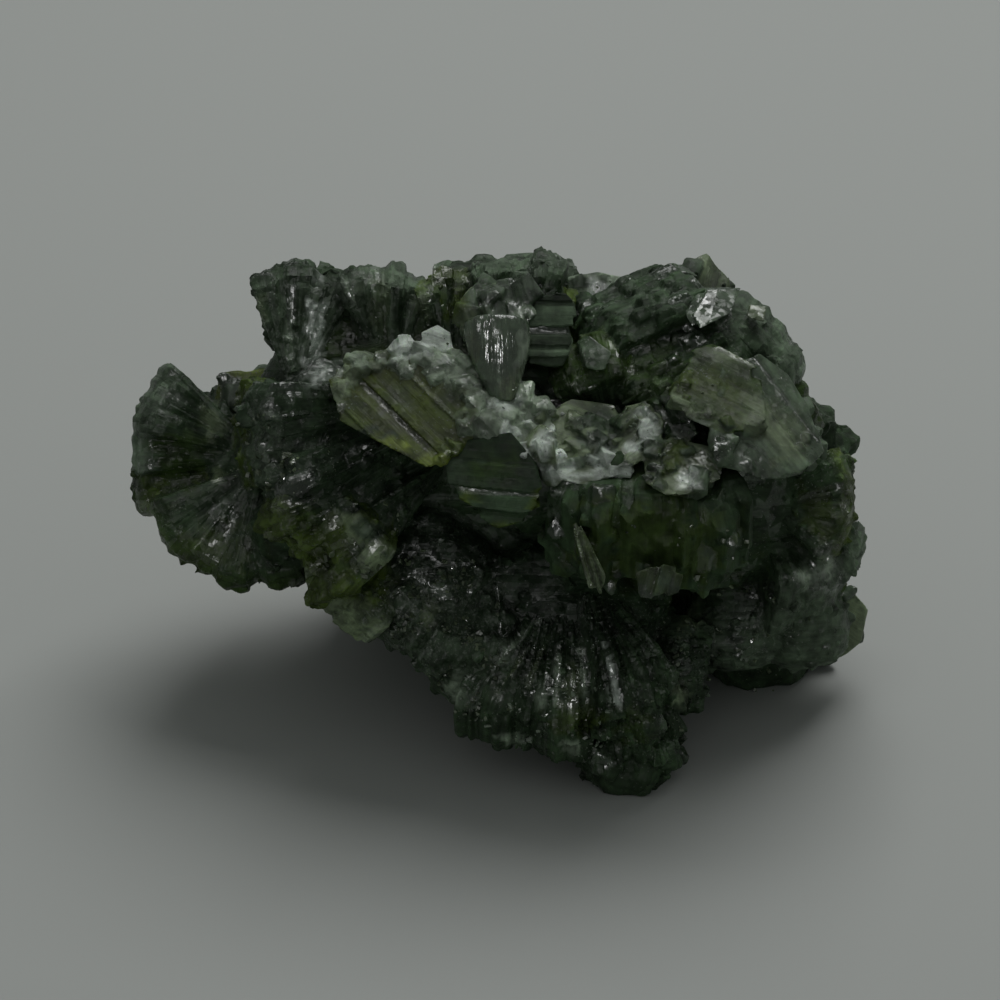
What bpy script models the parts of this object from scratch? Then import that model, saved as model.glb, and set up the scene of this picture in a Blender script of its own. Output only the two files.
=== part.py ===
# Rough prehnite: one cluster of crystal fans that grew into each other.
#
# Places are millimetres as the front view shows them: u to the right, v up the
# picture and w towards the eye. The front view looks down on the cluster, so
# seen() turns such a place into the upright frame that the cluster stands in.

import math
import random

import bmesh
import bpy
from mathutils import Matrix, Vector

MM = 0.001

VIEW_DOWN = math.radians(30.0)  # how steeply the front view looks down
EYE_AWAY = 390.0  # from the eye to the picture plane
EYE_LEVEL = 29.3  # the v that the eye is straight in front of

PLATE_OVERLAP = 1.12  # a blade's breadth over its share of the fan
ROOT_SHARE = 0.16  # where blades start, as a share of their reach
CORE_SHARE = 0.93  # how far the solid inside of a fan follows its blades
REACH_PLAY = 0.06
BREADTH_PLAY = 0.35  # how unlike the blades of one fan are in breadth
WIDTH_PLAY = 0.12
TILT_PLAY = math.radians(3.0)
FLAT = math.radians(4.0)
BLOCK_TAPER = 0.9
LUMP_PLAY = 0.10
FLOOR_DEPTH = 20.0


def seen(u, v, w):
    """The upright place, in metres, of what the front view shows at u, v when it lies at depth w."""
    spread = (EYE_AWAY - w) / EYE_AWAY
    across = u * spread
    up = EYE_LEVEL + (v - EYE_LEVEL) * spread
    y = up * math.sin(VIEW_DOWN) - w * math.cos(VIEW_DOWN)
    z = up * math.cos(VIEW_DOWN) + w * math.sin(VIEW_DOWN)
    return Vector((across, y, z)) * MM


def turned(u, v, w):
    """A direction of the front view in the upright frame."""
    y = v * math.sin(VIEW_DOWN) - w * math.cos(VIEW_DOWN)
    z = v * math.cos(VIEW_DOWN) + w * math.sin(VIEW_DOWN)
    return Vector((u, y, z)).normalized()


def upright(x, y, z):
    """A place given in the upright frame, for the sides that the front view doesn't show."""
    return Vector((x, y, z)) * MM


# Each fan: its root, the middle of its crown, the hinge that its blades turn about, the
# angle that it opens, its width along the hinge, how many blades, and how many rows of them.
FRONT_FANS = {
    "left_knob_top": ((-18.5, 32.6, -17), (-27.9, 35.9, -16), (0.1, 0, 1), 50, 9.0, 3, 1),
    "left_knob_mid": ((-19.0, 31.5, -17), (-28.4, 31.0, -17), (0, 0.1, 1), 34, 8.0, 3, 1),
    "left_fan_low": ((-18.5, 32, -15), (-22.6, 23.4, -15), (0, 0, 1), 90, 9.0, 6, 1),
    "back_left_fan": ((-16.0, 37, -15), (-15.2, 47.2, -15), (0, 0, 1), 48, 7.0, 6, 1),
    "ridge_a": ((-8.5, 37, -15), (-9.0, 47.2, -14), (0, 0, 1), 38, 7.5, 4, 1),
    "ridge_b": ((-3.5, 37, -14), (-3.7, 47.0, -14), (0, 0.1, 1), 36, 7.5, 3, 1),
    "ridge_c": ((1.0, 37, -12), (1.4, 48.2, -13), (0, 0, 1), 40, 8.0, 5, 1),
    "ridge_d": ((3.0, 37, -12), (5.3, 46.0, -12), (0, 0.2, 1), 26, 6.0, 2, 1),
    "dome": ((13.4, 35, -15), (12.6, 42.8, -3.5), (0.8, 0.55, 0.1), 74, 11.5, 8, 1),
    "shoulder": ((14.0, 37, -11), (21.2, 43.0, -8), (0.1, 0, 1), 54, 9.0, 4, 1),
    "shoulder_low": ((15.5, 35.5, -12), (24.2, 37.2, -11), (0, 0, 1), 44, 8.0, 3, 1),
    "right_fan": ((20.5, 29, -11), (27.6, 28.6, -11), (0, 0, 1), 80, 8.0, 5, 1),
    "right_block": ((21.0, 31, -12), (27.4, 31.2, -12), (0, 0, 1), 28, 7.0, 2, 1),
    "low_right_fan": ((19.5, 28, -15), (25.9, 22.2, -12), (0.3, 0.4, 1), 66, 8.0, 6, 1),
    "broad_fan": ((12.0, 37, -11), (11.6, 24.6, 3.5), (0, 0.7, 0.7), 52, 9.5, 7, 1),
    "blade_chip": ((5.9, 27.5, 1), (7.4, 22.8, 3.5), (0, 0.5, 0.8), 14, 1.8, 2, 1),
    "shell_fan": ((-0.2, 36.4, -4), (-0.3, 44.0, -2), (0, 0.1, 1), 44, 5.5, 4, 1),
    "step_plates": ((1.0, 42.3, -9), (5.2, 42.3, -3), (0.8, 0, -0.6), 36, 4.5, 3, 1),
    "middle_dark": ((8.5, 35, -9), (7.2, 40.8, -3), (0, 0, 1), 54, 6.0, 4, 1),
    "left_fan_big": ((-3.0, 37, -11), (-18.4, 31.4, -5), (0.1, 0, 1), 44, 10.0, 6, 1),
    "left_fan_rear": ((-12.0, 33, -14), (-20.5, 34.8, -11), (0, 0, 1), 54, 8.0, 3, 1),
    "left_fan_under": ((-4.0, 33, -11), (-16.0, 25.8, -5), (0.1, 0, 1), 42, 9.0, 5, 1),
    "pale_bud": ((-8.5, 28.5, -9), (-12.8, 26.6, -2.5), (0, 0.2, 1), 64, 4.5, 3, 1),
    "pale_foot": ((-8.5, 25.5, -11), (-13.2, 21.2, -7), (0, 0, 1), 70, 5.5, 3, 1),
    "lower_left_fan": ((-1.0, 25, -14), (-5.2, 16.8, -8), (0.2, 0.3, 1), 62, 7.0, 5, 1),
    "front_fan": ((5.6, 25, -15), (5.5, 10.6, -6.5), (0, 0.7, 0.8), 64, 8.5, 8, 1),
}

# Each block: the corners of its front face as the front view shows them, and how deep it goes.
BLOCKS = {
    "pale_left": (((-13.4, 39.2, -1.5), (-12.0, 41.0, -3), (-5.0, 41.3, -2), (-1.8, 39.6, 0), (-1.5, 37.6, 1.5),
                   (-2.2, 34.2, 3), (-5.8, 31.8, 3.5), (-9.2, 33.8, 2), (-13.4, 36.8, 0)), 7),
    "pale_left_top": (((-8.6, 39.6, -1), (-6.0, 42.8, -4), (-2.6, 41.4, -2), (-1.0, 38.0, 1.5), (-5.0, 38.4, 1)), 6),
    "white_band": (((-1.8, 38.2, 0), (1.0, 38.4, -0.5), (3.6, 35.8, 1), (4.4, 32.6, 3), (0.6, 33.0, 3.4),
                    (-2.4, 35.0, 2.4)), 7),
    "white_band_right": (((3.4, 35.6, -1), (7.0, 36.4, -1), (9.0, 32.8, 2.4), (6.4, 30.4, 3.6), (3.4, 31.6, 3)), 7),
    "white_plate": (((8.2, 34.6, 0.5), (9.6, 36.6, 0), (12.2, 36.2, 0.5), (12.8, 33.6, 2), (10.4, 31.8, 3),
                     (8.4, 32.6, 2.5)), 7),
    "middle_plate": (((-4.1, 32.6, 2), (-1.6, 34.0, 2.5), (2.8, 33.4, 3), (3.7, 31.0, 4.5), (3.2, 28.2, 5),
                      (0.4, 27.3, 5.2), (-1.4, 28.0, 5), (-4.2, 30.2, 3.5)), 7),
    "pale_right": (((12.8, 37.4, 2.2), (14.0, 41.0, 0), (17.4, 41.6, -1), (19.8, 38.8, 1), (18.6, 34.2, 4),
                    (15.4, 35.2, 3.6)), 8),
    "pale_right_outer": (((17.6, 39.8, 0.4), (21.4, 40.6, -1.4), (23.4, 38.2, -1), (25.6, 33.8, 0.8),
                          (25.0, 31.6, 2.2), (20.6, 31.4, 4), (17.2, 33.2, 4.4)), 9),
    "pale_nose": (((12.4, 32.8, 3), (13.6, 34.0, 2.4), (16.8, 33.4, 3.4), (16.2, 30.4, 5.4), (13.8, 29.6, 5.8),
                   (12.2, 30.8, 5)), 6),
    "pale_back": (((5.0, 42.0, -14), (5.2, 46.6, -15), (7.6, 47.1, -15.5), (10.6, 46.6, -15), (10.6, 42.0, -14)), 5),
    "dome_tip": (((13.6, 43.0, -13), (14.0, 47.4, -14), (16.2, 48.7, -15), (18.0, 46.4, -14), (17.6, 43.0, -13)), 4),
    "left_pale_back": (((-22.6, 36.0, -20), (-21.9, 39.2, -20), (-18.0, 39.6, -20), (-15.6, 37.0, -19)), 5),
    "low_right_tip": (((23.6, 17.6, -17), (23.6, 21.4, -17), (27.6, 22.2, -19), (28.9, 20.7, -20), (28.3, 18.4, -20),
                       (26.6, 17.0, -19)), 4),
}

# The same for the sides that the front view hides, with the places in the upright frame.
HIDDEN_FANS = {
    "rear_top_left": ((-10, 28, 20), (-13, 42, 26), (0.9, 0, 0.3), 64, 11.0, 3, 1),
    "rear_top": ((1, 28, 22), (1, 43, 27), (1, 0.2, 0), 60, 13.0, 4, 1),
    "rear_top_right": ((12, 26, 22), (15, 40, 27), (0.9, 0, -0.3), 60, 12.0, 4, 1),
    "rear_left": ((-15, 30, 17), (-22, 40, 17), (0.1, 0, 1), 70, 10.0, 4, 1),
    "rear_middle_left": ((-4, 30, 16), (-8, 45, 18), (0, 0, 1), 72, 11.0, 4, 1),
    "rear_middle": ((5, 30, 17), (7, 46, 18), (1, 0, 0.1), 70, 11.0, 4, 1),
    "rear_right": ((14, 28, 16), (21, 41, 17), (0, 0.1, 1), 74, 11.0, 4, 1),
    "rear_low": ((8, 30, 12), (12, 43, 6), (0.3, 0, 1), 60, 9.0, 3, 1),
    "rear_low_left": ((-3, 32, 14), (-10, 43, 6), (0.3, 0.3, 1), 62, 9.0, 4, 1),
    "right_side_low": ((18, 28, 12), (26, 32, 7), (0.2, 0.8, 0.4), 60, 8.0, 4, 1),
    "under_left": ((-14, 30, 20), (-19, 30, 12.5), (0, 1, 0), 70, 9.0, 4, 1),
    "under_middle": ((-6, 26, 16), (-8, 28, 7), (0.1, 1, 0), 60, 10.0, 4, 1),
}

# Each lump: its middle and its half sizes. They are the mass that the fans grew from.
FRONT_LUMPS = {
    "heart": ((2, 34, -15), (15, 9, 8)),
    "heart_right": ((17, 31, -14), (8.5, 8.5, 8)),
    "heart_left": ((-16, 31, -18), (8.5, 5.5, 6)),
    "neck": ((-14, 38, -17), (5, 4, 5)),
    "ridge_base": ((-5.0, 41.0, -16), (13, 4.6, 5)),
    "low_front": ((5, 20.5, -14), (8.5, 7.5, 6)),
    "low_right": ((19.5, 22, -19), (6.5, 5.5, 6)),
    "low_left": ((-5.5, 23, -12), (5.5, 6, 5)),
    "left_joint": ((-16.2, 27.0, -12), (3.2, 3.2, 4)),
    "low_left_toe": ((-2.5, 17, -11), (3.6, 4, 4)),
    "shell_head": ((-0.3, 44, -6), (3.4, 2.3, 3.5)),
    "low_right_crust": ((18.5, 19, -18), (4.5, 3.2, 5)),
    "low_right_side": ((23.6, 19.6, -18), (4.0, 3.8, 5)),
    "toe_nodule": ((10.8, 10.6, -10.5), (3.6, 4.0, 4.5)),
    "toe_side": ((14.0, 16.5, -13), (2.4, 4.0, 4)),
}
HIDDEN_LUMPS = {
    "rear_heart": ((3, 32, 18), (14, 9, 11)),
    "toe": ((10, 13.4, 3.2), (3.8, 3.8, 5.0)),
    "right_foot": ((21.5, 31, 3.4), (5.0, 5.0, 6.0)),
    "rear_foot": ((-5.5, 41.5, 4.0), (6.0, 5.2, 7.0)),
    "rear_foot_leg": ((-3, 36.5, 9.5), (9, 8, 7.5)),
    "right_foot_leg": ((17, 31, 9), (7, 6, 6)),
}


def frame_of(axis, hinge):
    """Rows: along the axis, across the blades, and along the hinge, all square to each other."""
    along = axis.normalized()
    side = hinge.cross(along).normalized()
    hinge = along.cross(side).normalized()
    return along, side, hinge


def blade_mesh(reach, breadth, width, root_width):
    """One tabular crystal, lying along +X, with its outer corners cut back to a crown."""
    bm = bmesh.new()
    bmesh.ops.create_cube(bm, size=1.0)
    start = reach * ROOT_SHARE
    for vert in bm.verts:
        outer = vert.co.x > 0
        vert.co.x = reach if outer else start
        vert.co.y *= breadth if outer else breadth * ROOT_SHARE * 1.5
        vert.co.z *= width if outer else root_width
    crown = [
        edge
        for edge in bm.edges
        if all(vert.co.x > 0.9 * reach for vert in edge.verts)
        and abs(edge.verts[0].co.z - edge.verts[1].co.z) < 1e-9
    ]
    cut = min(0.28 * width, 0.3 * reach)
    bmesh.ops.bevel(bm, geom=crown, offset=cut, segments=1, affect="EDGES")
    return bm


def add_object(name, bm, collection):
    mesh = bpy.data.meshes.new(name)
    bm.to_mesh(mesh)
    bm.free()
    made = bpy.data.objects.new(name, mesh)
    collection.objects.link(made)
    return made


def add_fan(name, root, crown, hinge, opening, width, blades, rows, collection):
    """The blades of one fan, each turned a little further about the hinge than the last."""
    chance = random.Random(name)
    along, side, hinge = frame_of(crown - root, hinge)
    reach = (crown - root).length
    basis = Matrix((along, side, hinge)).transposed().to_4x4()
    row_width = width / rows * (PLATE_OVERLAP if rows > 1 else 1.0)
    row_step = width / rows / reach
    for row in range(rows):
        shares = [1.0 + chance.uniform(-1, 1) * BREADTH_PLAY for _ in range(blades)]
        turn = -math.radians(opening) / 2.0
        for blade in range(blades):
            step = math.radians(opening) * shares[blade] / sum(shares)
            lean = (row + 0.5 - rows / 2.0) * row_step + chance.uniform(-1, 1) * TILT_PLAY
            blade_reach = reach * (1.0 + chance.uniform(-1, 1) * REACH_PLAY)
            blade_width = row_width * (1.0 + chance.uniform(-1, 1) * WIDTH_PLAY)
            breadth = 2.0 * blade_reach * math.tan(step / 2.0) * PLATE_OVERLAP
            bm = blade_mesh(blade_reach, breadth, blade_width, row_width * 0.62)
            bm.transform(
                Matrix.Translation(root)
                @ basis
                @ Matrix.Rotation(turn + step / 2.0, 4, "Z")
                @ Matrix.Rotation(-lean, 4, "Y")
            )
            add_object(f"{name}_{row}_{blade}", bm, collection)
            turn += step
    corners = []
    parts = max(2, (blades + 1) // 2)
    for part in range(parts + 1):
        turn = math.radians(opening) * (part / parts - 0.5) * 0.96
        for share, half in ((ROOT_SHARE, 0.28), (0.74, 0.42), (CORE_SHARE, 0.24)):
            for sign in (-1, 1):
                corner = (math.cos(turn) * reach * share, math.sin(turn) * reach * share, sign * half * width)
                corners.append(Matrix.Translation(root) @ basis @ Vector(corner))
    add_object(f"{name}_core", hull_mesh(corners), collection)


def hull_mesh(corners):
    """The flat-faced solid that reaches around all the corners."""
    bm = bmesh.new()
    for corner in corners:
        bm.verts.new(corner)
    hull = bmesh.ops.convex_hull(bm, input=bm.verts)
    inside = [item for item in hull["geom_interior"] if isinstance(item, bmesh.types.BMVert)]
    bmesh.ops.delete(bm, geom=inside, context="VERTS")
    bmesh.ops.dissolve_limit(bm, angle_limit=FLAT, verts=bm.verts, edges=bm.edges)
    return bm


def add_block(name, face, depth, collection):
    """A stout crystal: its front face, and a smaller copy of it further back."""
    middle = sum((Vector(corner) for corner in face), Vector()) / len(face)
    corners = [seen(*corner) for corner in face]
    for corner in face:
        back = middle + (Vector(corner) - middle) * BLOCK_TAPER
        corners.append(seen(back.x, back.y, back.z - depth))
    add_object(name, hull_mesh(corners), collection)


def add_lump(name, middle, half_sizes, basis, collection):
    """A knobbly mass of country crystal between the fans."""
    chance = random.Random(name)
    bm = bmesh.new()
    bmesh.ops.create_icosphere(bm, subdivisions=2, radius=1.0)
    for vert in bm.verts:
        vert.co *= 1.0 + chance.uniform(-1, 1) * LUMP_PLAY
    bm.transform(basis @ Matrix.Diagonal((*half_sizes, 1.0)))
    bm.transform(Matrix.Translation(middle))
    return add_object(name, bm, collection)


def clear_scene():
    for old in list(bpy.data.objects):
        bpy.data.objects.remove(old)


def add_collection(name):
    made = bpy.data.collections.new(name)
    bpy.context.scene.collection.children.link(made)
    return made


def grow_pieces(collection):
    """Every blade and lump in place, before they are joined."""
    for name, (root, crown, hinge, *shape) in FRONT_FANS.items():
        add_fan(name, seen(*root), seen(*crown), turned(*hinge), shape[0], shape[1] * MM,
                *shape[2:], collection)
    for name, (face, depth) in BLOCKS.items():
        add_block(name, face, depth, collection)
    for name, (root, crown, hinge, *shape) in HIDDEN_FANS.items():
        add_fan(name, upright(*root), upright(*crown), Vector(hinge).normalized(), shape[0],
                shape[1] * MM, *shape[2:], collection)
    tilted = Matrix((turned(1, 0, 0), turned(0, 1, 0), turned(0, 0, 1))).transposed().to_4x4()
    for name, (middle, half_sizes) in FRONT_LUMPS.items():
        add_lump(name, seen(*middle), [s * MM for s in half_sizes], tilted, collection)
    for name, (middle, half_sizes) in HIDDEN_LUMPS.items():
        add_lump(name, upright(*middle), [s * MM for s in half_sizes], Matrix.Identity(4), collection)


def evaluated_copy(source, name, collection):
    graph = bpy.context.evaluated_depsgraph_get()
    mesh = bpy.data.meshes.new_from_object(source.evaluated_get(graph))
    mesh.name = name
    made = bpy.data.objects.new(name, mesh)
    collection.objects.link(made)
    return made


def keep_outer_skin(mesh):
    """Deletes the sealed gaps that stay between blades, so that one closed surface is left."""
    bm = bmesh.new()
    bm.from_mesh(mesh)
    islands = []
    waiting = set(bm.faces)
    while waiting:
        island = {waiting.pop()}
        border = list(island)
        while border:
            face = border.pop()
            for edge in face.edges:
                for other in edge.link_faces:
                    if other not in island:
                        island.add(other)
                        border.append(other)
        waiting -= island
        islands.append(island)
    skin = max(islands, key=len)
    bmesh.ops.delete(bm, geom=[f for f in bm.faces if f not in skin], context="FACES")
    bmesh.ops.triangulate(bm, faces=bm.faces)
    bm.to_mesh(mesh)
    bm.free()


def stand_on_floor(mesh):
    """Moves the origin to the middle of the underside of the cluster's box."""
    low = [min(vert.co[i] for vert in mesh.vertices) for i in range(3)]
    high = [max(vert.co[i] for vert in mesh.vertices) for i in range(3)]
    mesh.transform(Matrix.Translation((-(low[0] + high[0]) / 2, -(low[1] + high[1]) / 2, -low[2])))


def prehnite_material():
    material = bpy.data.materials.new("prehnite")
    material.use_nodes = True
    shader = material.node_tree.nodes["Principled BSDF"]
    shader.inputs["Base Color"].default_value = (0.045, 0.075, 0.035, 1.0)
    shader.inputs["Roughness"].default_value = 0.35
    shader.inputs["Metallic"].default_value = 0.0
    shader.inputs["IOR"].default_value = 1.63
    return material


def main():
    clear_scene()
    cluster = add_collection("rough_prehnite")
    makings = add_collection("makings")
    loose = add_collection("loose_crystals")
    grow_pieces(loose)
    first = loose.objects[0]
    loose.objects.unlink(first)
    makings.objects.link(first)

    join = first.modifiers.new("join", "BOOLEAN")
    join.operation = "UNION"
    join.operand_type = "COLLECTION"
    join.collection = loose
    joined = evaluated_copy(first, "joined", makings)

    floor = bmesh.new()
    bmesh.ops.create_cube(floor, size=1.0)
    floor.transform(Matrix.Diagonal((0.2, 0.2, FLOOR_DEPTH * MM, 1.0)))
    floor.transform(Matrix.Translation((0, 0.02, -FLOOR_DEPTH * MM / 2)))
    floor_cutter = add_object("floor_cutter", floor, makings)
    cut = joined.modifiers.new("worn_feet", "BOOLEAN")
    cut.operation = "DIFFERENCE"
    cut.object = floor_cutter

    rock = evaluated_copy(joined, "prehnite_cluster", cluster)
    keep_outer_skin(rock.data)
    stand_on_floor(rock.data)
    rock.data.materials.clear()
    rock.data.materials.append(prehnite_material())

    for helper in list(makings.objects) + list(loose.objects):
        bpy.data.objects.remove(helper)
    for empty in (makings, loose):
        bpy.data.collections.remove(empty)


main()
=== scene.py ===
# Rough prehnite: dark bladed fans grown into one cluster, pale broken crystals on top,
# sugary crust in the hollows. Places are millimetres of the front view (u right, v up,
# w towards the eye) and seen() stands them upright in metres.
import math
import random

import bmesh
import bpy
import numpy as np
from mathutils import Matrix, Vector, noise
from mathutils.bvhtree import BVHTree


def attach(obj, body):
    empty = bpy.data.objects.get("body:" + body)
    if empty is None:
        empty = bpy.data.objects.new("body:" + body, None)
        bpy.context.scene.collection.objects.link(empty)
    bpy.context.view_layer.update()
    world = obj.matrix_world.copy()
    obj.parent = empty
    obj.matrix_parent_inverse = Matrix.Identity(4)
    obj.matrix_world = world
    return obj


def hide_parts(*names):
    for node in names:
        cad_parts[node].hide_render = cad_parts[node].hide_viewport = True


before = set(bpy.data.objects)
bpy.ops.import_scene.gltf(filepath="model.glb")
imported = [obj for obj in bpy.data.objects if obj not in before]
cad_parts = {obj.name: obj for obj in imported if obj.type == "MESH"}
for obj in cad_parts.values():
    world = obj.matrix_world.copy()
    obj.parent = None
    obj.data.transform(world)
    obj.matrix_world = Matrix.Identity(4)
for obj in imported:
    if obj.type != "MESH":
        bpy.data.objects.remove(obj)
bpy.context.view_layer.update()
cadNode = "prehnite_cluster"
mm = 0.001

eye = {
    "down": math.radians(30.0),
    "away": 390.0,
    "level": 29.3,
    "perMm": 12.8,  # points of the picture to a millimetre
    "picture": 1000.0,
    "film": 36.0,
    "shift": Vector((-0.109, -27.38, 0.0)) * mm,
}


def seen(u, v, w):
    spread = (eye["away"] - w) / eye["away"]
    up = eye["level"] + (v - eye["level"]) * spread
    y = up * math.sin(eye["down"]) - w * math.cos(eye["down"])
    z = up * math.cos(eye["down"]) + w * math.sin(eye["down"])
    return Vector((u * spread, y, z)) * mm + eye["shift"]


def turned(u, v, w):
    y = v * math.sin(eye["down"]) - w * math.cos(eye["down"])
    z = v * math.cos(eye["down"]) + w * math.sin(eye["down"])
    return Vector((u, y, z)).normalized()


def upright(x, y, z):
    return Vector((x, y, z)) * mm + eye["shift"]


def spot(u, v, wide, tall, tint=None, cover=1, gloss=0, dust=0, matt=0, lean=0):
    # A place in the front view with its half sizes, and what the skin is like there.
    return {"at": (u, v), "half": (wide, tall), "tint": tint, "cover": cover,
            "gloss": gloss, "dust": dust, "matt": matt, "lean": lean}


# Crystal tints, as linear colours. The whole stone is dark: even its white is a mid grey.
tints = {
    "sooty": (0.0210, 0.0380, 0.0185),
    "dark": (0.0295, 0.0525, 0.0245),
    "deep": (0.0285, 0.0545, 0.0105),
    "olive": (0.0490, 0.0780, 0.0130),
    "moss": (0.0640, 0.1000, 0.0150),
    "leaf": (0.0700, 0.1040, 0.0080),
    "lime": (0.1450, 0.1950, 0.0280),
    "grey": (0.0690, 0.1000, 0.0620),
    "sage": (0.1320, 0.1730, 0.0980),
    "pale": (0.2300, 0.2900, 0.2100),
    "chalk": (0.5200, 0.5900, 0.5200),
}
tints = {name: np.array(tint) for name, tint in tints.items()}


def startClean():
    if bpy.context.mode != "OBJECT":
        bpy.ops.object.mode_set(mode="OBJECT")
    bpy.ops.object.select_all(action="DESELECT")


def makeActive(piece):
    startClean()
    piece.select_set(True)
    bpy.context.view_layer.objects.active = piece


def applyAll(piece):
    makeActive(piece)
    for modifier in list(piece.modifiers):
        bpy.ops.object.modifier_apply(modifier=modifier.name)


def takeAway(piece):
    mesh = piece.data
    bpy.data.objects.remove(piece)
    bpy.data.meshes.remove(mesh)


def showPiece(name, mesh):
    piece = bpy.data.objects.new(name, mesh)
    bpy.context.scene.collection.objects.link(piece)
    return piece


def newPiece(name, points, corners):
    mesh = bpy.data.meshes.new(name)
    mesh.from_pydata(points.tolist(), [], corners.tolist())
    return showPiece(name, mesh)


def editFresh(piece):
    makeActive(piece)
    bpy.ops.object.mode_set(mode="EDIT")
    bpy.ops.mesh.select_all(action="DESELECT")


def pick(piece, kind, wanted):
    # Selects the faces or edges of the piece in edit mode that the test wants.
    bpy.ops.mesh.select_mode(type=kind)
    bpy.ops.mesh.select_all(action="DESELECT")
    bm = bmesh.from_edit_mesh(piece.data)
    bm.normal_update()
    for item in bm.faces if kind == "FACE" else bm.edges:
        if wanted(item):
            item.select_set(True)
    bmesh.update_edit_mesh(piece.data)


def breakOff(place, normal, inner=False):
    # Cuts the shape in edit mode at a plane, clears one side and closes the cut.
    bpy.ops.mesh.select_all(action="SELECT")
    bpy.ops.mesh.bisect(
        plane_co=place, plane_no=normal, use_fill=True, clear_inner=inner, clear_outer=not inner
    )
    bpy.ops.mesh.select_all(action="SELECT")


def softenEdges(offset, segments=1):
    bpy.ops.mesh.bevel(offset=offset, segments=segments, affect="EDGES", clamp_overlap=True)


def readForm(piece):
    # Leaves edit mode and turns the modelled piece into points and triangles.
    if bpy.context.mode != "OBJECT":
        bpy.ops.object.mode_set(mode="OBJECT")
    split = piece.modifiers.new("split", "TRIANGULATE")
    split.quad_method = "BEAUTY"
    applyAll(piece)
    points = np.array([vert.co for vert in piece.data.vertices])
    corners = np.array([poly.vertices[:] for poly in piece.data.polygons])
    takeAway(piece)
    return points, corners


# One plate of crystal, in millimetres, before it is copied into the fans at its own size.
plateForm = {
    "reach": 10.0,
    "breadth": 1.0,
    "width": 6.0,
    "rootStart": 0.16,
    "rootBreadth": 0.24,
    "rootWidth": 0.62,
    "nose": 0.24,
    "noseRise": 0.7,
    "crowns": {
        "square": {"corner": 0.7, "segments": 1, "cut": None},
        "round": {"corner": 2.0, "segments": 3, "cut": None},
        "leaning": {"corner": 1.1, "segments": 2, "cut": ((9.5, 0, 1.2), (0.86, 0.25, 0.45))},
        "broken": {"corner": 0.6, "segments": 1, "cut": ((9.3, 0, -1.4), (0.8, -0.2, -0.55))},
    },
}


def makePlateForm(name, crown):
    startClean()
    bpy.ops.mesh.primitive_cube_add(size=1.0)
    piece = bpy.context.active_object
    piece.name = name
    reach, start = plateForm["reach"], plateForm["reach"] * plateForm["rootStart"]
    editFresh(piece)
    bpy.ops.mesh.select_all(action="SELECT")
    bpy.ops.transform.resize(value=(reach - start, plateForm["breadth"], plateForm["width"]))
    bpy.ops.transform.translate(value=((reach + start) / 2, 0, 0))
    pick(piece, "FACE", lambda face: face.normal.x < -0.9)
    bpy.ops.transform.resize(
        value=(1, plateForm["rootBreadth"], plateForm["rootWidth"]), center_override=(start, 0, 0)
    )
    pick(
        piece, "EDGE",
        lambda edge: all(vert.co.x > reach - 0.01 for vert in edge.verts)
        and abs(edge.verts[0].co.z - edge.verts[1].co.z) < 0.01,
    )
    softenEdges(crown["corner"], crown["segments"])
    for _ in range(2):
        pick(piece, "FACE", lambda face: face.normal.x > 0.95)
        bpy.ops.mesh.inset(thickness=plateForm["nose"], depth=plateForm["nose"] * plateForm["noseRise"])
    if crown["cut"]:
        breakOff(*crown["cut"])
    return readForm(piece)


# A chip is a cube with a leaning pyramid drawn out of its top, broken at one corner.
chipShape = {"draw": (0.12, 0.05, 0.45), "narrow": (0.45, 0.6, 1), "top": (0.12, 0.05, 0.95),
             "cut": ((0.2, 0.2, 0.55), (0.5, 0.6, 0.62)), "softEdge": 0.04}


def makeChipForm():
    startClean()
    bpy.ops.mesh.primitive_cube_add(size=1.0)
    piece = bpy.context.active_object
    editFresh(piece)
    pick(piece, "FACE", lambda face: face.normal.z > 0.9)
    bpy.ops.mesh.extrude_region_move(TRANSFORM_OT_translate={"value": chipShape["draw"]})
    bpy.ops.transform.resize(value=chipShape["narrow"], center_override=chipShape["top"])
    breakOff(*chipShape["cut"])
    softenEdges(chipShape["softEdge"])
    return readForm(piece)


def makeKnobForm():
    startClean()
    bpy.ops.mesh.primitive_ico_sphere_add(subdivisions=3, radius=1.0)
    return readForm(bpy.context.active_object)


class Pile:
    # Gathers copies of the forms, and remembers which growth each face belongs to.
    def __init__(self):
        self.points, self.corners, self.owners, self.growths, self.count = [], [], [], [], 0

    def own(self, root, basis, reach, body, rim, flat):
        self.growths.append((np.array(root), np.array(basis), reach, body, rim, flat))
        return len(self.growths) - 1

    def add(self, points, corners, owner):
        self.points.append(points)
        self.corners.append(corners + self.count)
        self.owners.append(np.full(len(corners), owner))
        self.count += len(points)

    def joined(self):
        return np.concatenate(self.points), np.concatenate(self.corners), np.concatenate(self.owners)

    def piece(self, name):
        points, corners, _ = self.joined()
        return newPiece(name, points, corners)

    def tree(self):
        points, corners, _ = self.joined()
        return BVHTree.FromPolygons(points.tolist(), corners.tolist(), all_triangles=True)


def smooth(values, low, high):
    t = np.clip((values - low) / (high - low), 0, 1)
    return t * t * (3 - 2 * t)


def anyWay(chance, size=1):
    return Vector([chance.uniform(-size, size) for _ in range(3)])


def between(sizes, share):
    return (sizes[0] + (sizes[1] - sizes[0]) * share) * mm


fullTurn = (0, 6.3)

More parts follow.
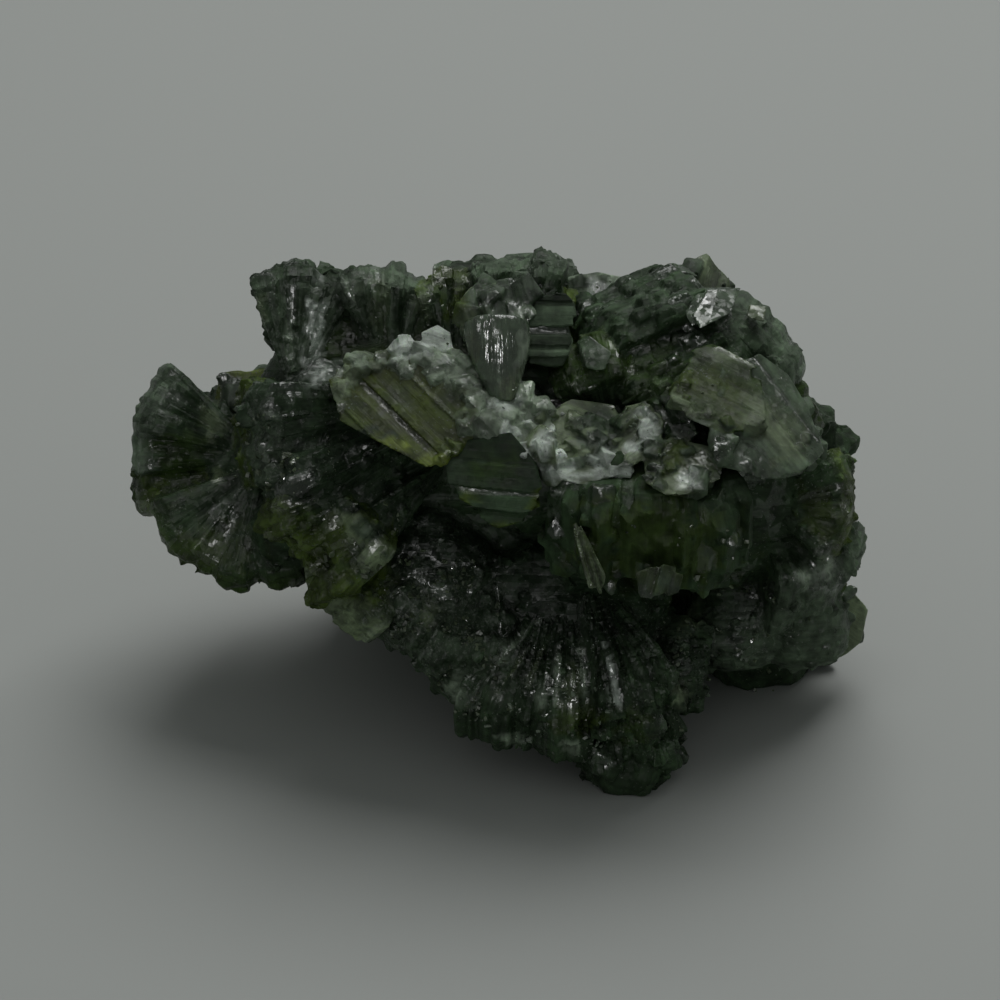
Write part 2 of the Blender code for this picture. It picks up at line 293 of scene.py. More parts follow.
# Each fan, by its name in the solid: root, middle of the crown, hinge, opening in degrees, width
# along the hinge and number of lobes, as there. Then its body and rim tints, how thick its plates
# are in millimetres and how ragged they stand.
fans = {
    "left_knob_top": ((-18.5, 32.6, -17), (-27.9, 35.9, -16), (0.1, 0, 1), 50, 9.0, 3,
                      "dark", "grey", 2.2, 0.35),
    "left_knob_mid": ((-19.0, 31.5, -17), (-28.4, 31.0, -17), (0, 0.1, 1), 34, 8.0, 3,
                      "moss", "deep", 1.9, 0.4),
    "left_fan_low": ((-18.5, 32, -15), (-22.6, 23.4, -15), (0, 0, 1), 90, 9.0, 6, "dark", "deep", 1.1, 0.7),
    "back_left_fan": ((-16.0, 37, -15), (-15.2, 47.2, -15), (0, 0, 1), 48, 7.0, 6, "grey", "dark", 1.2, 0.5),
    "ridge_a": ((-8.5, 37, -15), (-9.0, 47.2, -14), (0, 0, 1), 38, 7.5, 4, "grey", "grey", 1.5, 0.7),
    "ridge_b": ((-3.5, 37, -14), (-3.7, 47.0, -14), (0, 0.1, 1), 36, 7.5, 3, "dark", "olive", 1.5, 0.7),
    "ridge_c": ((1.0, 37, -12), (1.4, 48.2, -13), (0, 0, 1), 40, 8.0, 5, "dark", "grey", 1.2, 0.8),
    "ridge_d": ((3.0, 37, -12), (5.3, 46.0, -12), (0, 0.2, 1), 26, 6.0, 2, "moss", "olive", 1.2, 0.8),
    "dome": ((13.4, 35, -15), (12.6, 42.8, -3.5), (0.8, 0.55, 0.1), 74, 11.5, 8, "dark", "dark", 1.1, 1.6),
    "shoulder": ((14.0, 37, -11), (21.2, 43.0, -8), (0.1, 0, 1), 54, 9.0, 4, "dark", "grey", 1.1, 0.7),
    "shoulder_low": ((15.5, 35.5, -12), (24.2, 37.2, -11), (0, 0, 1), 44, 8.0, 3, "dark", "deep", 1.0, 0.7),
    "right_fan": ((20.5, 29, -11), (27.6, 28.6, -11), (0, 0, 1), 80, 8.0, 5, "dark", "olive", 1.7, 0.5),
    "right_block": ((21.0, 31, -12), (27.4, 31.2, -12), (0, 0, 1), 28, 7.0, 2, "dark", "deep", 1.4, 0.5),
    "low_right_fan": ((19.5, 28, -15), (25.9, 22.2, -12), (0.3, 0.4, 1), 66, 8.0, 6,
                      "dark", "grey", 1.0, 0.8),
    "broad_fan": ((12.0, 37, -11), (11.6, 24.6, 3.5), (0, 0.7, 0.7), 52, 9.5, 7, "dark", "dark", 2.6, 0.7),
    "middle_dark": ((8.5, 35, -9), (7.2, 40.8, -3), (0, 0, 1), 54, 6.0, 4, "dark", "deep", 0.8, 1.0),
    "left_fan_big": ((-3.0, 37, -11), (-18.4, 31.4, -5), (0.1, 0, 1), 44, 10.0, 6, "dark", "sooty", 1.9, 1.3),
    "left_fan_rear": ((-12.0, 33, -14), (-20.5, 34.8, -11), (0, 0, 1), 54, 8.0, 3, "dark", "olive", 0.8, 1.2),
    "left_fan_under": ((-4.0, 33, -11), (-16.0, 25.8, -5), (0.1, 0, 1), 42, 9.0, 5,
                       "dark", "olive", 0.8, 1.2),
    "pale_bud": ((-8.5, 28.5, -9), (-12.8, 26.6, -2.5), (0, 0.2, 1), 64, 4.5, 3, "olive", "sage", 0.9, 1.2),
    "pale_foot": ((-8.5, 25.5, -11), (-13.2, 21.2, -7), (0, 0, 1), 70, 5.5, 3, "moss", "sage", 0.9, 1.0),
    "lower_left_fan": ((-1.0, 25, -14), (-5.2, 16.8, -8), (0.2, 0.3, 1), 62, 7.0, 5,
                       "sooty", "dark", 0.8, 1.3),
    "front_fan": ((5.6, 25, -15), (5.5, 10.6, -6.5), (0, 0.7, 0.8), 64, 8.5, 8, "dark", "dark", 1.0, 0.5),
}

# The sides that the front view hides, placed in the upright frame.
hiddenFans = {
    "rear_top_left": ((-10, 28, 20), (-13, 42, 26), (0.9, 0, 0.3), 64, 11.0, 3, "sooty", "dark", 1.0, 1.3),
    "rear_top": ((1, 28, 22), (1, 43, 27), (1, 0.2, 0), 60, 13.0, 4, "dark", "grey", 0.8, 1.4),
    "rear_top_right": ((12, 26, 22), (15, 40, 27), (0.9, 0, -0.3), 60, 12.0, 4, "dark", "dark", 1.0, 1.3),
    "rear_left": ((-15, 30, 17), (-22, 40, 17), (0.1, 0, 1), 70, 10.0, 4, "sooty", "dark", 1.1, 1.3),
    "rear_middle_left": ((-4, 30, 16), (-8, 45, 18), (0, 0, 1), 72, 11.0, 4, "dark", "grey", 1.1, 1.3),
    "rear_middle": ((5, 30, 17), (7, 46, 18), (1, 0, 0.1), 70, 11.0, 4, "sooty", "dark", 1.0, 1.3),
    "rear_right": ((14, 28, 16), (21, 41, 17), (0, 0.1, 1), 74, 11.0, 4, "dark", "dark", 1.0, 1.3),
    "rear_low": ((8, 30, 12), (12, 43, 6), (0.3, 0, 1), 60, 9.0, 3, "dark", "grey", 1.0, 0.9),
    "rear_low_left": ((-3, 32, 14), (-10, 43, 6), (0.3, 0.3, 1), 62, 9.0, 4, "dark", "dark", 1.0, 1.3),
    "right_side_low": ((18, 28, 12), (26, 32, 7), (0.2, 0.8, 0.4), 60, 8.0, 4, "dark", "deep", 1.0, 0.9),
    "under_left": ((-14, 30, 20), (-19, 30, 12.5), (0, 1, 0), 70, 9.0, 4, "dark", "deep", 1.1, 0.9),
    "under_middle": ((-6, 26, 16), (-8, 28, 7), (0.1, 1, 0), 60, 10.0, 4, "sooty", "dark", 1.0, 0.9),
}

lobeHabit = {"share": 0.35, "lean": math.radians(3.0), "reach": 0.06, "width": 0.12}


def lobesOf(reach, opening, width, lobes, seed):
    # The same lobes as the solid: turn, share of the opening, lean, reach and width.
    chance = random.Random(seed)
    shares = [1.0 + chance.uniform(-1, 1) * lobeHabit["share"] for _ in range(lobes)]
    turn = -math.radians(opening) / 2.0
    found = []
    for lobe in range(lobes):
        step = math.radians(opening) * shares[lobe] / sum(shares)
        lean = chance.uniform(-1, 1) * lobeHabit["lean"]
        lobeReach = reach * (1.0 + chance.uniform(-1, 1) * lobeHabit["reach"])
        lobeWidth = width * (1.0 + chance.uniform(-1, 1) * lobeHabit["width"])
        found.append((turn + step / 2.0, step, lean, lobeReach, lobeWidth))
        turn += step
    return found


def placePlate(form, basis, root, size, turn, lean, offset):
    scale = np.array(size) / np.array((plateForm["reach"], plateForm["breadth"], plateForm["width"]))
    local = form[0] * scale
    local[:, 2] += offset
    place = basis @ Matrix.Rotation(turn, 3, "Z") @ Matrix.Rotation(-lean, 3, "Y")
    return local @ np.array(place).T + np.array(root)


def fanBasis(root, crown, hinge):
    along = (crown - root).normalized()
    side = hinge.cross(along).normalized()
    return Matrix((along, side, along.cross(side).normalized()))


# How the plates of a fan vary: one whole plate behind each lobe, then thin plates in rows.
plateHabit = {
    "whole": (0.96, 1.12, 0.95),
    "lobeBright": (0.85, 1.2),
    "bright": (0.75, 1.3),
    "rowEvery": 4.0,
    "reach": 1.01,
    "roundTurn": 0.05,
    "roundRow": 0.03,
    "uneven": (-0.03, 0.02),
    "rowWidth": 1.03,
    "rowUneven": (-0.09, 0.06),
    "overlap": 1.35,
    "rowOverlap": 1.25,
    "wobble": math.radians(1.2),
    "mixedFrom": 0.6,
    "rowSpread": 1.15,
    "rowStray": (-0.02, 0.02),
}


def growFan(name, spec, root, crown, hinge, pile, heart, forms):
    _, _, _, opening, width, lobes, body, rim, thick, ragged = spec
    habit = plateHabit
    width *= mm
    chance = random.Random(name + " plates")
    basis = fanBasis(root, crown, hinge)
    stand = basis.transposed()
    reach = (crown - root).length
    heartOwner = heart.own(root, basis, reach, tints[body], tints[rim], False)
    for turn, step, lean, lobeReach, lobeWidth in lobesOf(reach, opening, width, lobes, name):
        breadth = 2.0 * lobeReach * math.tan(step / 2.0) * habit["whole"][1]
        size = (lobeReach * habit["whole"][0], breadth, lobeWidth * habit["whole"][2])
        whole = placePlate(forms["square"], stand, root, size, turn, lean, 0)
        heart.add(whole, forms["square"][1], heartOwner)
        lobeTint = chance.uniform(*habit["lobeBright"])
        lobeOwner = pile.own(root, basis, lobeReach, tints[body] * lobeTint, tints[rim] * lobeTint, False)
        pile.add(whole, forms["square"][1], lobeOwner)
        plates = max(2, round(lobeReach * step / (thick * mm)))
        rows = max(1, round(width / mm * ragged / habit["rowEvery"]))
        for plate in range(plates):
            t = (plate + 0.5) / plates * 2 - 1
            for row in range(rows):
                r = (row + 0.5) / rows * 2 - 1
                far = habit["reach"] - habit["roundTurn"] * t * t - habit["roundRow"] * r * r * (rows > 1)
                far += chance.uniform(*habit["uneven"]) * ragged
                uneven = habit["rowWidth"] + chance.uniform(*habit["rowUneven"]) * ragged
                rowWidth = lobeWidth / rows * uneven * (habit["rowOverlap"] if rows > 1 else 1.0)
                size = (lobeReach * far, lobeReach * step / plates * habit["overlap"], rowWidth)
                wobble = chance.uniform(-1, 1) * habit["wobble"] * ragged
                form = forms[chance.choice(list(forms)) if ragged > habit["mixedFrom"] else "round"]
                offset = r * lobeWidth / 2 * (1 - habit["rowSpread"] / rows)
                offset += chance.uniform(*habit["rowStray"]) * width * ragged
                points = placePlate(form, stand, root, size, turn + t * step / 2, lean + wobble, offset)
                bright = lobeTint * chance.uniform(*habit["bright"])
                owner = pile.own(root, basis, lobeReach, tints[body] * bright, tints[rim] * bright, False)
                pile.add(points, form[1], owner)


def hullOf(corners):
    piece = newPiece("hull", np.array([tuple(corner / mm) for corner in corners]), np.zeros((0, 3), int))
    editFresh(piece)
    bpy.ops.mesh.select_all(action="SELECT")
    bpy.ops.mesh.convex_hull()
    points, faces = readForm(piece)
    return points * mm, faces


# The solid wedge between a fan's root and its crown: rings at a share of the reach, with their
# half width, over most of the opening.
coreHabit = {"rings": ((0.16, 0.28), (0.74, 0.40), (0.92, 0.24)), "opening": 0.96}


def growCore(spec, root, crown, hinge, pile):
    _, _, _, opening, width, lobes, body, _, _, _ = spec
    basis = fanBasis(root, crown, hinge)
    reach = (crown - root).length
    corners = []
    parts = max(2, (lobes + 1) // 2)
    for part in range(parts + 1):
        turn = math.radians(opening) * (part / parts - 0.5) * coreHabit["opening"]
        for share, half in coreHabit["rings"]:
            for sign in (-1, 1):
                corner = Vector((math.cos(turn) * share, math.sin(turn) * share, 0)) * reach
                corner.z = sign * half * width * mm
                corners.append(root + basis.transposed() @ corner)
    points, faces = hullOf(corners)
    pile.add(points, faces, pile.own(root, basis, reach, tints[body], tints[body], False))


# Knobbly country between the fans: middle, half sizes, tint.
lumps = {
    "heart": ((2, 34, -15), (15, 9, 8), "dark"),
    "heart_right": ((17, 31, -14), (8.5, 8.5, 8), "dark"),
    "heart_left": ((-16, 31, -18), (8.5, 5.5, 6), "dark"),
    "neck": ((-14, 38, -17), (5, 4, 5), "dark"),
    "ridge_base": ((-5.0, 41.0, -16), (13, 4.6, 5), "deep"),
    "low_front": ((5, 20.5, -14), (8.5, 7.5, 6), "sooty"),
    "low_right": ((19.5, 22, -19), (6.5, 5.5, 6), "dark"),
    "low_left": ((-5.5, 23, -12), (5.5, 6, 5), "sooty"),
    "left_joint": ((-16.2, 27.0, -12), (3.2, 3.2, 4), "dark"),
    "low_left_toe": ((-2.5, 17, -11), (3.6, 4, 4), "dark"),
    "shell_head": ((-0.3, 44, -6), (3.4, 2.3, 3.5), "sage"),
    "low_right_crust": ((18.5, 19, -18), (4.5, 3.2, 5), "grey"),
    "low_right_side": ((23.6, 19.6, -18), (4.0, 3.8, 5), "grey"),
    "toe_nodule": ((10.4, 10.8, -10.8), (3.3, 3.7, 4.2), "grey"),
    "toe_tip": ((9.6, 8.6, -12.2), (3.4, 2.6, 3.2), "dark"),
    "toe_side": ((14.0, 16.5, -13), (2.4, 4.0, 4), "dark"),
}
hiddenLumps = {
    "rear_heart": ((3, 32, 18), (14, 9, 11), "dark"),
    "toe": ((10, 13.6, 3.0), (3.3, 3.4, 4.4), "dark"),
    "right_foot": ((21.5, 31, 3.4), (5.0, 5.0, 6.0), "dark"),
    "rear_foot": ((-5.5, 41.5, 4.0), (6.0, 5.2, 7.0), "sooty"),
    "rear_foot_leg": ((-3, 36.5, 9.5), (9, 8, 7.5), "dark"),
    "right_foot_leg": ((17, 31, 9), (7, 6, 6), "dark"),
}
knobSwell = {"amount": 0.14, "bumps": 1.8, "anywhere": 9}


def growKnob(name, middle, half, basis, tint, pile, form, owner=None):
    offset = anyWay(random.Random(name), knobSwell["anywhere"])
    swell = [noise.noise(Vector(point) * knobSwell["bumps"] + offset) for point in form[0]]
    swell = 1 + knobSwell["amount"] * np.array(swell)
    points = form[0] * swell[:, None] * (np.array(half) * mm)
    points = points @ np.array(basis).T + np.array(middle)
    if owner is None:
        owner = pile.own(middle, basis.transposed(), 1.0, tints[tint], tints[tint], True)
    pile.add(points, form[1], owner)


def oneSkin(piece, voxel):
    remesh = piece.modifiers.new("oneSkin", "REMESH")
    remesh.mode = "VOXEL"
    remesh.voxel_size = voxel * mm
    applyAll(piece)


def readAll(items, value, across=1):
    found = np.zeros(len(items) * across)
    items.foreach_get(value, found)
    return found.reshape(-1, across) if across > 1 else found


def frontPlace(places):
    # Where upright places show in the front view, in its millimetres.
    moved = (places - np.array(eye["shift"])) / mm
    sine, cosine = math.sin(eye["down"]), math.cos(eye["down"])
    up = moved[:, 1] * sine + moved[:, 2] * cosine
    near = -moved[:, 1] * cosine + moved[:, 2] * sine
    spread = (eye["away"] - near) / eye["away"]
    return moved[:, 0] / spread, eye["level"] + (up - eye["level"]) / spread


chipHabit = {"stray": 0.45, "wide": (0.4, 1.1), "deep": (0.5, 1.2), "high": (0.5, 1.0)}


def addChips(pile, count, size, seed, form, voxel, where=None, along=0.7, bright=(0.6, 1.5),
             tint=None, tall=1.0, keep=None):
    # Small broken crystals that stand on the skin of what has grown so far.
    coarse = pile.piece("coarse")
    oneSkin(coarse, voxel)
    faces = coarse.data.polygons
    middles, normals = readAll(faces, "center", 3), readAll(faces, "normal", 3)
    areas = readAll(faces, "area")
    takeAway(coarse)
    if keep:
        areas = areas * keep(middles)
    if where:
        u, v = frontPlace(middles)
        areas = areas * (np.hypot(u - where[0], v - where[1]) < where[2])
        areas = areas * (normals @ np.array(turned(0, 0, 1)) > 0)
    tree = pile.tree()
    owners = pile.joined()[2]
    chance = random.Random(seed)
    heaped = np.cumsum(areas)
    for _ in range(count):
        index = min(int(np.searchsorted(heaped, chance.random() * heaped[-1])), len(areas) - 1)
        root, basis, reach, body, rim, flat = pile.growths[owners[tree.find_nearest(middles[index])[2]]]
        outward = Vector(normals[index])
        grown = outward if flat else Vector(middles[index] - root).normalized()
        lean = (outward * (1 - along) + grown * along + anyWay(chance) * chipHabit["stray"]).normalized()
        turn = lean.to_track_quat("Z", "Y").to_matrix() @ Matrix.Rotation(chance.uniform(*fullTurn), 3, "Z")
        big = between(size, chance.random() ** 2)
        shape = np.array([chance.uniform(*chipHabit[way]) for way in ("wide", "deep", "high")])
        shape *= (1, 1, tall)
        points = (form[0] * (shape * big)) @ np.array(turn).T + middles[index]
        shade = chance.uniform(*bright)
        if tint:
            body = rim = tints[tint]
        pile.add(points, form[1], pile.own(root, basis, reach, body * shade, rim * shade, flat))


def relief(piece, kind, size, strength, coords="LOCAL"):
    texture = bpy.data.textures.new(piece.name + kind, kind)
    texture.noise_scale = size
    bump = piece.modifiers.new(kind, "DISPLACE")
    bump.texture = texture
    bump.texture_coords = coords
    if coords == "UV":
        bump.uv_layer = "grain"
    bump.strength = strength * mm
    bump.mid_level = 0.5


# Places in the front view where the skin is paler, glossier, darker or dustier than around it. Some are
# painted light: the shine, streak, spark and sheen places paint highlights in pale tints on top of their real
# gloss, and the dark place over the front fan paints shade.
country = {
    # Painted reflection: grey on the knob's top stands in for its sheen, over a little real gloss.
    "leftKnobSheen": spot(-26.0, 37.0, 2.2, 1.8, "grey", gloss=0.3),
    "leftWedge": spot(-22.4, 35.4, 1.0, 2.2, "sage", 0.8),
    "leftKnobGreen": spot(-25.0, 32.4, 2.6, 3.0, "deep"),
    # Painted highlight: a small sage glint spot on real gloss.
    "leftSpark": spot(-22.1, 31.1, 0.5, 1.2, "sage", gloss=1.0),
    "leftLow": spot(-23.0, 25.4, 4.0, 2.4, "olive", 0.6),
    # Painted highlights: chalk and pale streaks down the back-left fan stand in for its glints, on real
    # gloss.
    "backLeftShine": spot(-14.4, 42.8, 0.9, 3.2, "chalk", 0.9, gloss=1.0),
    "backLeftShineOuter": spot(-16.4, 41.4, 0.4, 2.4, "pale", 0.9, gloss=1.0),
    "backLeftShineLow": spot(-14.2, 39.8, 2.0, 1.5, "chalk", 0.7, gloss=1.0),
    "backLeftRim": spot(-18.6, 44.0, 0.6, 2.0, "sage", 0.7),
    # Painted highlight: a pale glint on the ridge, on real gloss.
    "ridgeShine": spot(-11.3, 46.0, 1.3, 0.8, "pale", gloss=1.0),
    "ridgePale": spot(-9.4, 44.0, 1.0, 2.4, "sage", 0.7),
    "ridgeColumn": spot(-6.0, 44.6, 0.9, 2.4, "sage", 0.6),
    "ridgeDark": spot(-7.8, 44.0, 0.7, 2.4, "sooty"),
    "ridgeGreen": spot(-3.5, 44.6, 1.2, 1.4, "olive"),
    "ridgeTop": spot(0.4, 46.8, 2.2, 2.2, "grey", 0.6),
    "domeGrey": spot(11.4, 45.0, 3.6, 2.4, "grey", 0.45),
    "domeGreen": spot(12.0, 39.4, 3.2, 3.2, "deep", 0.7),
    "rightLobes": spot(25.2, 28.4, 2.4, 2.4, "olive", 0.7),
    # Painted highlights: grey and pale glint streaks on the low right fan, on real gloss.
    "rightShine": spot(24.8, 23.8, 2.0, 1.6, "grey", gloss=1.0),
    "rightStreakA": spot(23.8, 23.6, 0.5, 1.3, "pale", gloss=1.0),
    "rightStreakB": spot(25.6, 24.0, 0.5, 1.0, "pale", gloss=1.0),
    "broadGreen": spot(12.0, 26.0, 6.6, 4.8, "olive", 0.6),
    "rightCrust": spot(20.0, 18.6, 4.6, 2.6, "grey", 0.7, dust=0.6),
    "leftSlabSheen": spot(-12.5, 32.0, 4.6, 4.6, "sooty"),
    "leftRough": spot(-18.4, 33.4, 2.0, 3.4, "grey", dust=0.5),
    "budSage": spot(-10.4, 27.0, 1.8, 1.2, "grey"),
    "budGreen": spot(-13.0, 26.4, 1.6, 1.6, "olive"),
    "footGreen": spot(-11.7, 22.6, 1.6, 1.6, "moss"),
    "steepDust": spot(-5.0, 21.0, 6.0, 6.0, "grey", 0.75, dust=0.8),
    "steepDustLow": spot(-1.6, 16.5, 4.4, 4.4, "grey", 0.5, dust=0.6),
    "steepTop": spot(-4.4, 25.4, 5.0, 2.0, "sooty", 0.8, matt=1.0),
    "steepPale": spot(-5.6, 20.6, 0.8, 1.2, "sage"),
    "edgePale": spot(-3.6, 14.6, 0.8, 1.2, "pale"),
    # Painted shade: a sooty tint over the upper front fan, where it lies in shadow; its gloss is also taken
    # away.
    "frontDark": spot(6.0, 19.8, 5.4, 2.6, "sooty", matt=1.0),
    # Painted highlights: sage, pale and chalk streaks down the front fan's ridges stand in for its glints, on
    # real gloss.
    "frontShine": spot(5.6, 14.4, 0.9, 2.4, "sage", gloss=1.0),
    "frontShineInner": spot(4.5, 15.2, 0.3, 2.6, "pale", gloss=1.0, lean=0.1),
    "frontShineMiddle": spot(6.5, 15.4, 0.3, 2.6, "pale", gloss=1.0, lean=-0.1),
    "frontShineRight": spot(8.9, 15.0, 0.3, 2.8, "chalk", gloss=1.0, lean=-0.24),
    "frontShineLeft": spot(0.8, 17.6, 0.4, 2.2, "pale", gloss=1.0, lean=0.9),
    "frontShineOuter": spot(0.9, 15.8, 0.3, 1.8, "sage", gloss=1.0, lean=0.7),
    "frontShineSide": spot(2.9, 16.6, 0.3, 2.0, "sage", gloss=1.0, lean=0.4),
    "frontLowGreen": spot(6.2, 12.2, 3.0, 1.4, "olive", 0.7),
    "frontChip": spot(3.3, 14.3, 0.6, 1.2, "pale"),
    "hemChipA": spot(0.9, 10.6, 1.4, 0.5, "pale"),
    "hemChipB": spot(5.5, 9.9, 1.1, 0.7, "pale"),
    "toeGreen": spot(10.4, 11.6, 1.8, 1.8, "deep", gloss=0.2),
    "toeSide": spot(14.4, 18.4, 1.4, 2.6, "grey", dust=0.4),
    "toeSideTop": spot(15.0, 20.4, 1.0, 1.2, "sage", dust=0.5),
    "toeSideLow": spot(14.0, 13.8, 0.6, 1.0, "sage"),
    "toeSideDark": spot(15.2, 16.8, 1.6, 2.2, "sooty"),
}
# How the skin varies: where a fan's rim tint starts, clouds and finer fuzz in millimetres, how
# many plates shine, dust in the clouds, the soft edges of places, and the grain along the growth.
variety = {
    "rim": (0.8, 1.02),
    "cloudSize": 3.6,
    "fuzzSize": 0.9,
    "cloud": 0.5,
    "fuzzShare": 0.6,
    "shining": 16,
    "gloss": 0.6,
    "dust": 0.8,
    "dustMost": 0.35,
    "facing": (-0.2, 0.2),
    "edge": (0.5, 1.05),
    "edgeFuzz": 0.9,
    "spotFuzz": 0.35,
    "grainSteps": 17,
    "grainStep": 1.3,
    "grainAlong": 0.12,
}
shuffle = 7919  # a prime, so that neighbouring plates differ


def addTints(mesh, rgba):
    layer = mesh.color_attributes.new(name="tint", type="FLOAT_COLOR", domain="POINT")
    layer.data.foreach_set("color", rgba.astype(np.float32).ravel())


def dressSkin(piece, pile, spots):
    # Gives each point its tint, gloss and dust, and its place along and across its growth.
    mesh = piece.data
    places = readAll(mesh.vertices, "co", 3)
    tree, owners = pile.tree(), pile.joined()[2]
    owned = owners[np.array([tree.find_nearest(place)[2] for place in places])]
    roots, bases, reaches, bodies, rims, flats = (np.array(column) for column in zip(*pile.growths))
    local = np.einsum("nij,nj->ni", bases[owned], places - roots[owned])
    far = np.hypot(local[:, 0], local[:, 1])
    across = np.where(flats[owned], local[:, 1], np.arctan2(local[:, 1], local[:, 0]) * reaches[owned])
    out = np.where(flats[owned], local[:, 0], far)
    share = smooth(far / reaches[owned], *variety["rim"])[:, None]
    tint = bodies[owned] * (1 - share) + rims[owned] * share
    clouds, fuzz = (
        np.array([noise.noise(Vector(place) / (variety[size] * mm)) for place in places])
        for size in ("cloudSize", "fuzzSize")
    )
    tint = tint * (1 + variety["cloud"] * (clouds + fuzz * variety["fuzzShare"]))[:, None]
    gloss = np.where((owned * shuffle) % 100 < variety["shining"], variety["gloss"], 0.0)
    dust = np.clip(clouds * variety["dust"], 0, variety["dustMost"])
    u, v = frontPlace(places)
    normals = readAll(mesh.vertices, "normal", 3)
    facing = smooth(normals @ np.array(turned(0, 0, 1)), *variety["facing"])
    for place in list(country.values()) + list(spots):
        above = v - place["at"][1]
        aside = u - place["at"][0] - place["lean"] * above
        away = np.hypot(aside / place["half"][0], above / place["half"][1])
        inside = 1 - smooth(away + fuzz * variety["edgeFuzz"], *variety["edge"])
        cover = inside * facing * place["cover"]
        if place["tint"]:
            wanted = tints[place["tint"]] * (1 + variety["spotFuzz"] * fuzz)[:, None]
            tint = tint * (1 - cover[:, None]) + wanted * cover[:, None]
        gloss = np.maximum(gloss * (1 - cover * place["matt"]), cover * place["gloss"])
        dust = np.maximum(dust, cover * place["dust"])
    addTints(mesh, np.concatenate((np.clip(tint, 0.002, 1), gloss[:, None]), axis=1))
    layer = mesh.attributes.new(name="dust", type="FLOAT", domain="POINT")
    layer.data.foreach_set("value", dust.astype(np.float32))
    side = across / mm + (owned % variety["grainSteps"]) * variety["grainStep"]
    grain = np.stack((side, out / mm * variety["grainAlong"]), axis=1).astype(np.float32)
    loops = np.zeros(len(mesh.loops), int)
    mesh.loops.foreach_get("vertex_index", loops)
    mesh.uv_layers.new(name="grain").data.foreach_set("uv", grain[loops].ravel())


def dropFlaps(piece):
    # Two faces on the same points enclose nothing, so both go and the skin stays closed.
    form = bmesh.new()
    form.from_mesh(piece.data)
    sharing = {}
    for face in form.faces:
        sharing.setdefault(frozenset(vert.index for vert in face.verts), []).append(face)
    flaps = [face for faces in sharing.values() if len(faces) > 1 for face in faces]
    bmesh.ops.delete(form, geom=flaps, context="FACES")
    form.to_mesh(piece.data)
    form.free()


def wearFlat(piece):
    # Nothing goes below the plane that the feet are worn down to.
    for vert in piece.data.vertices:
        vert.co.z = max(vert.co.z, 0.0)


reliefSizes = {"lump": 1.3 * mm, "grit": 0.5 * mm}


def finishSkin(name, pile, look):
    # One rough skin over all that grew, then its colours, then its ridges and grit.
    piece = pile.piece(name)
    oneSkin(piece, look["voxel"])
    if look["soften"]:
        soften = piece.modifiers.new("soften", "SMOOTH")
        soften.factor = 0.5
        soften.iterations = look["soften"]
        applyAll(piece)
    if look["keep"] < 1:
        # Fewer, larger faces: broken crystal is flat between its edges.
        broken = piece.modifiers.new("broken", "DECIMATE")
        broken.ratio = look["keep"]
        applyAll(piece)
        dropFlaps(piece)
    dressSkin(piece, pile, look["spots"])
    if look["ridge"]:
        relief(piece, "CLOUDS", look["ridgeSize"], look["ridge"], "UV")
    if look["lump"]:
        relief(piece, "CLOUDS", reliefSizes["lump"], look["lump"])
    if look["grit"]:
        relief(piece, "VORONOI", reliefSizes["grit"], -look["grit"])
    applyAll(piece)
    wearFlat(piece)
    makeActive(piece)
    bpy.ops.object.shade_smooth_by_angle(angle=math.radians(look["crease"]))
    piece.data.materials.append(materials[look["finish"]])
    print(name, len(piece.data.polygons), "faces")
    return piece


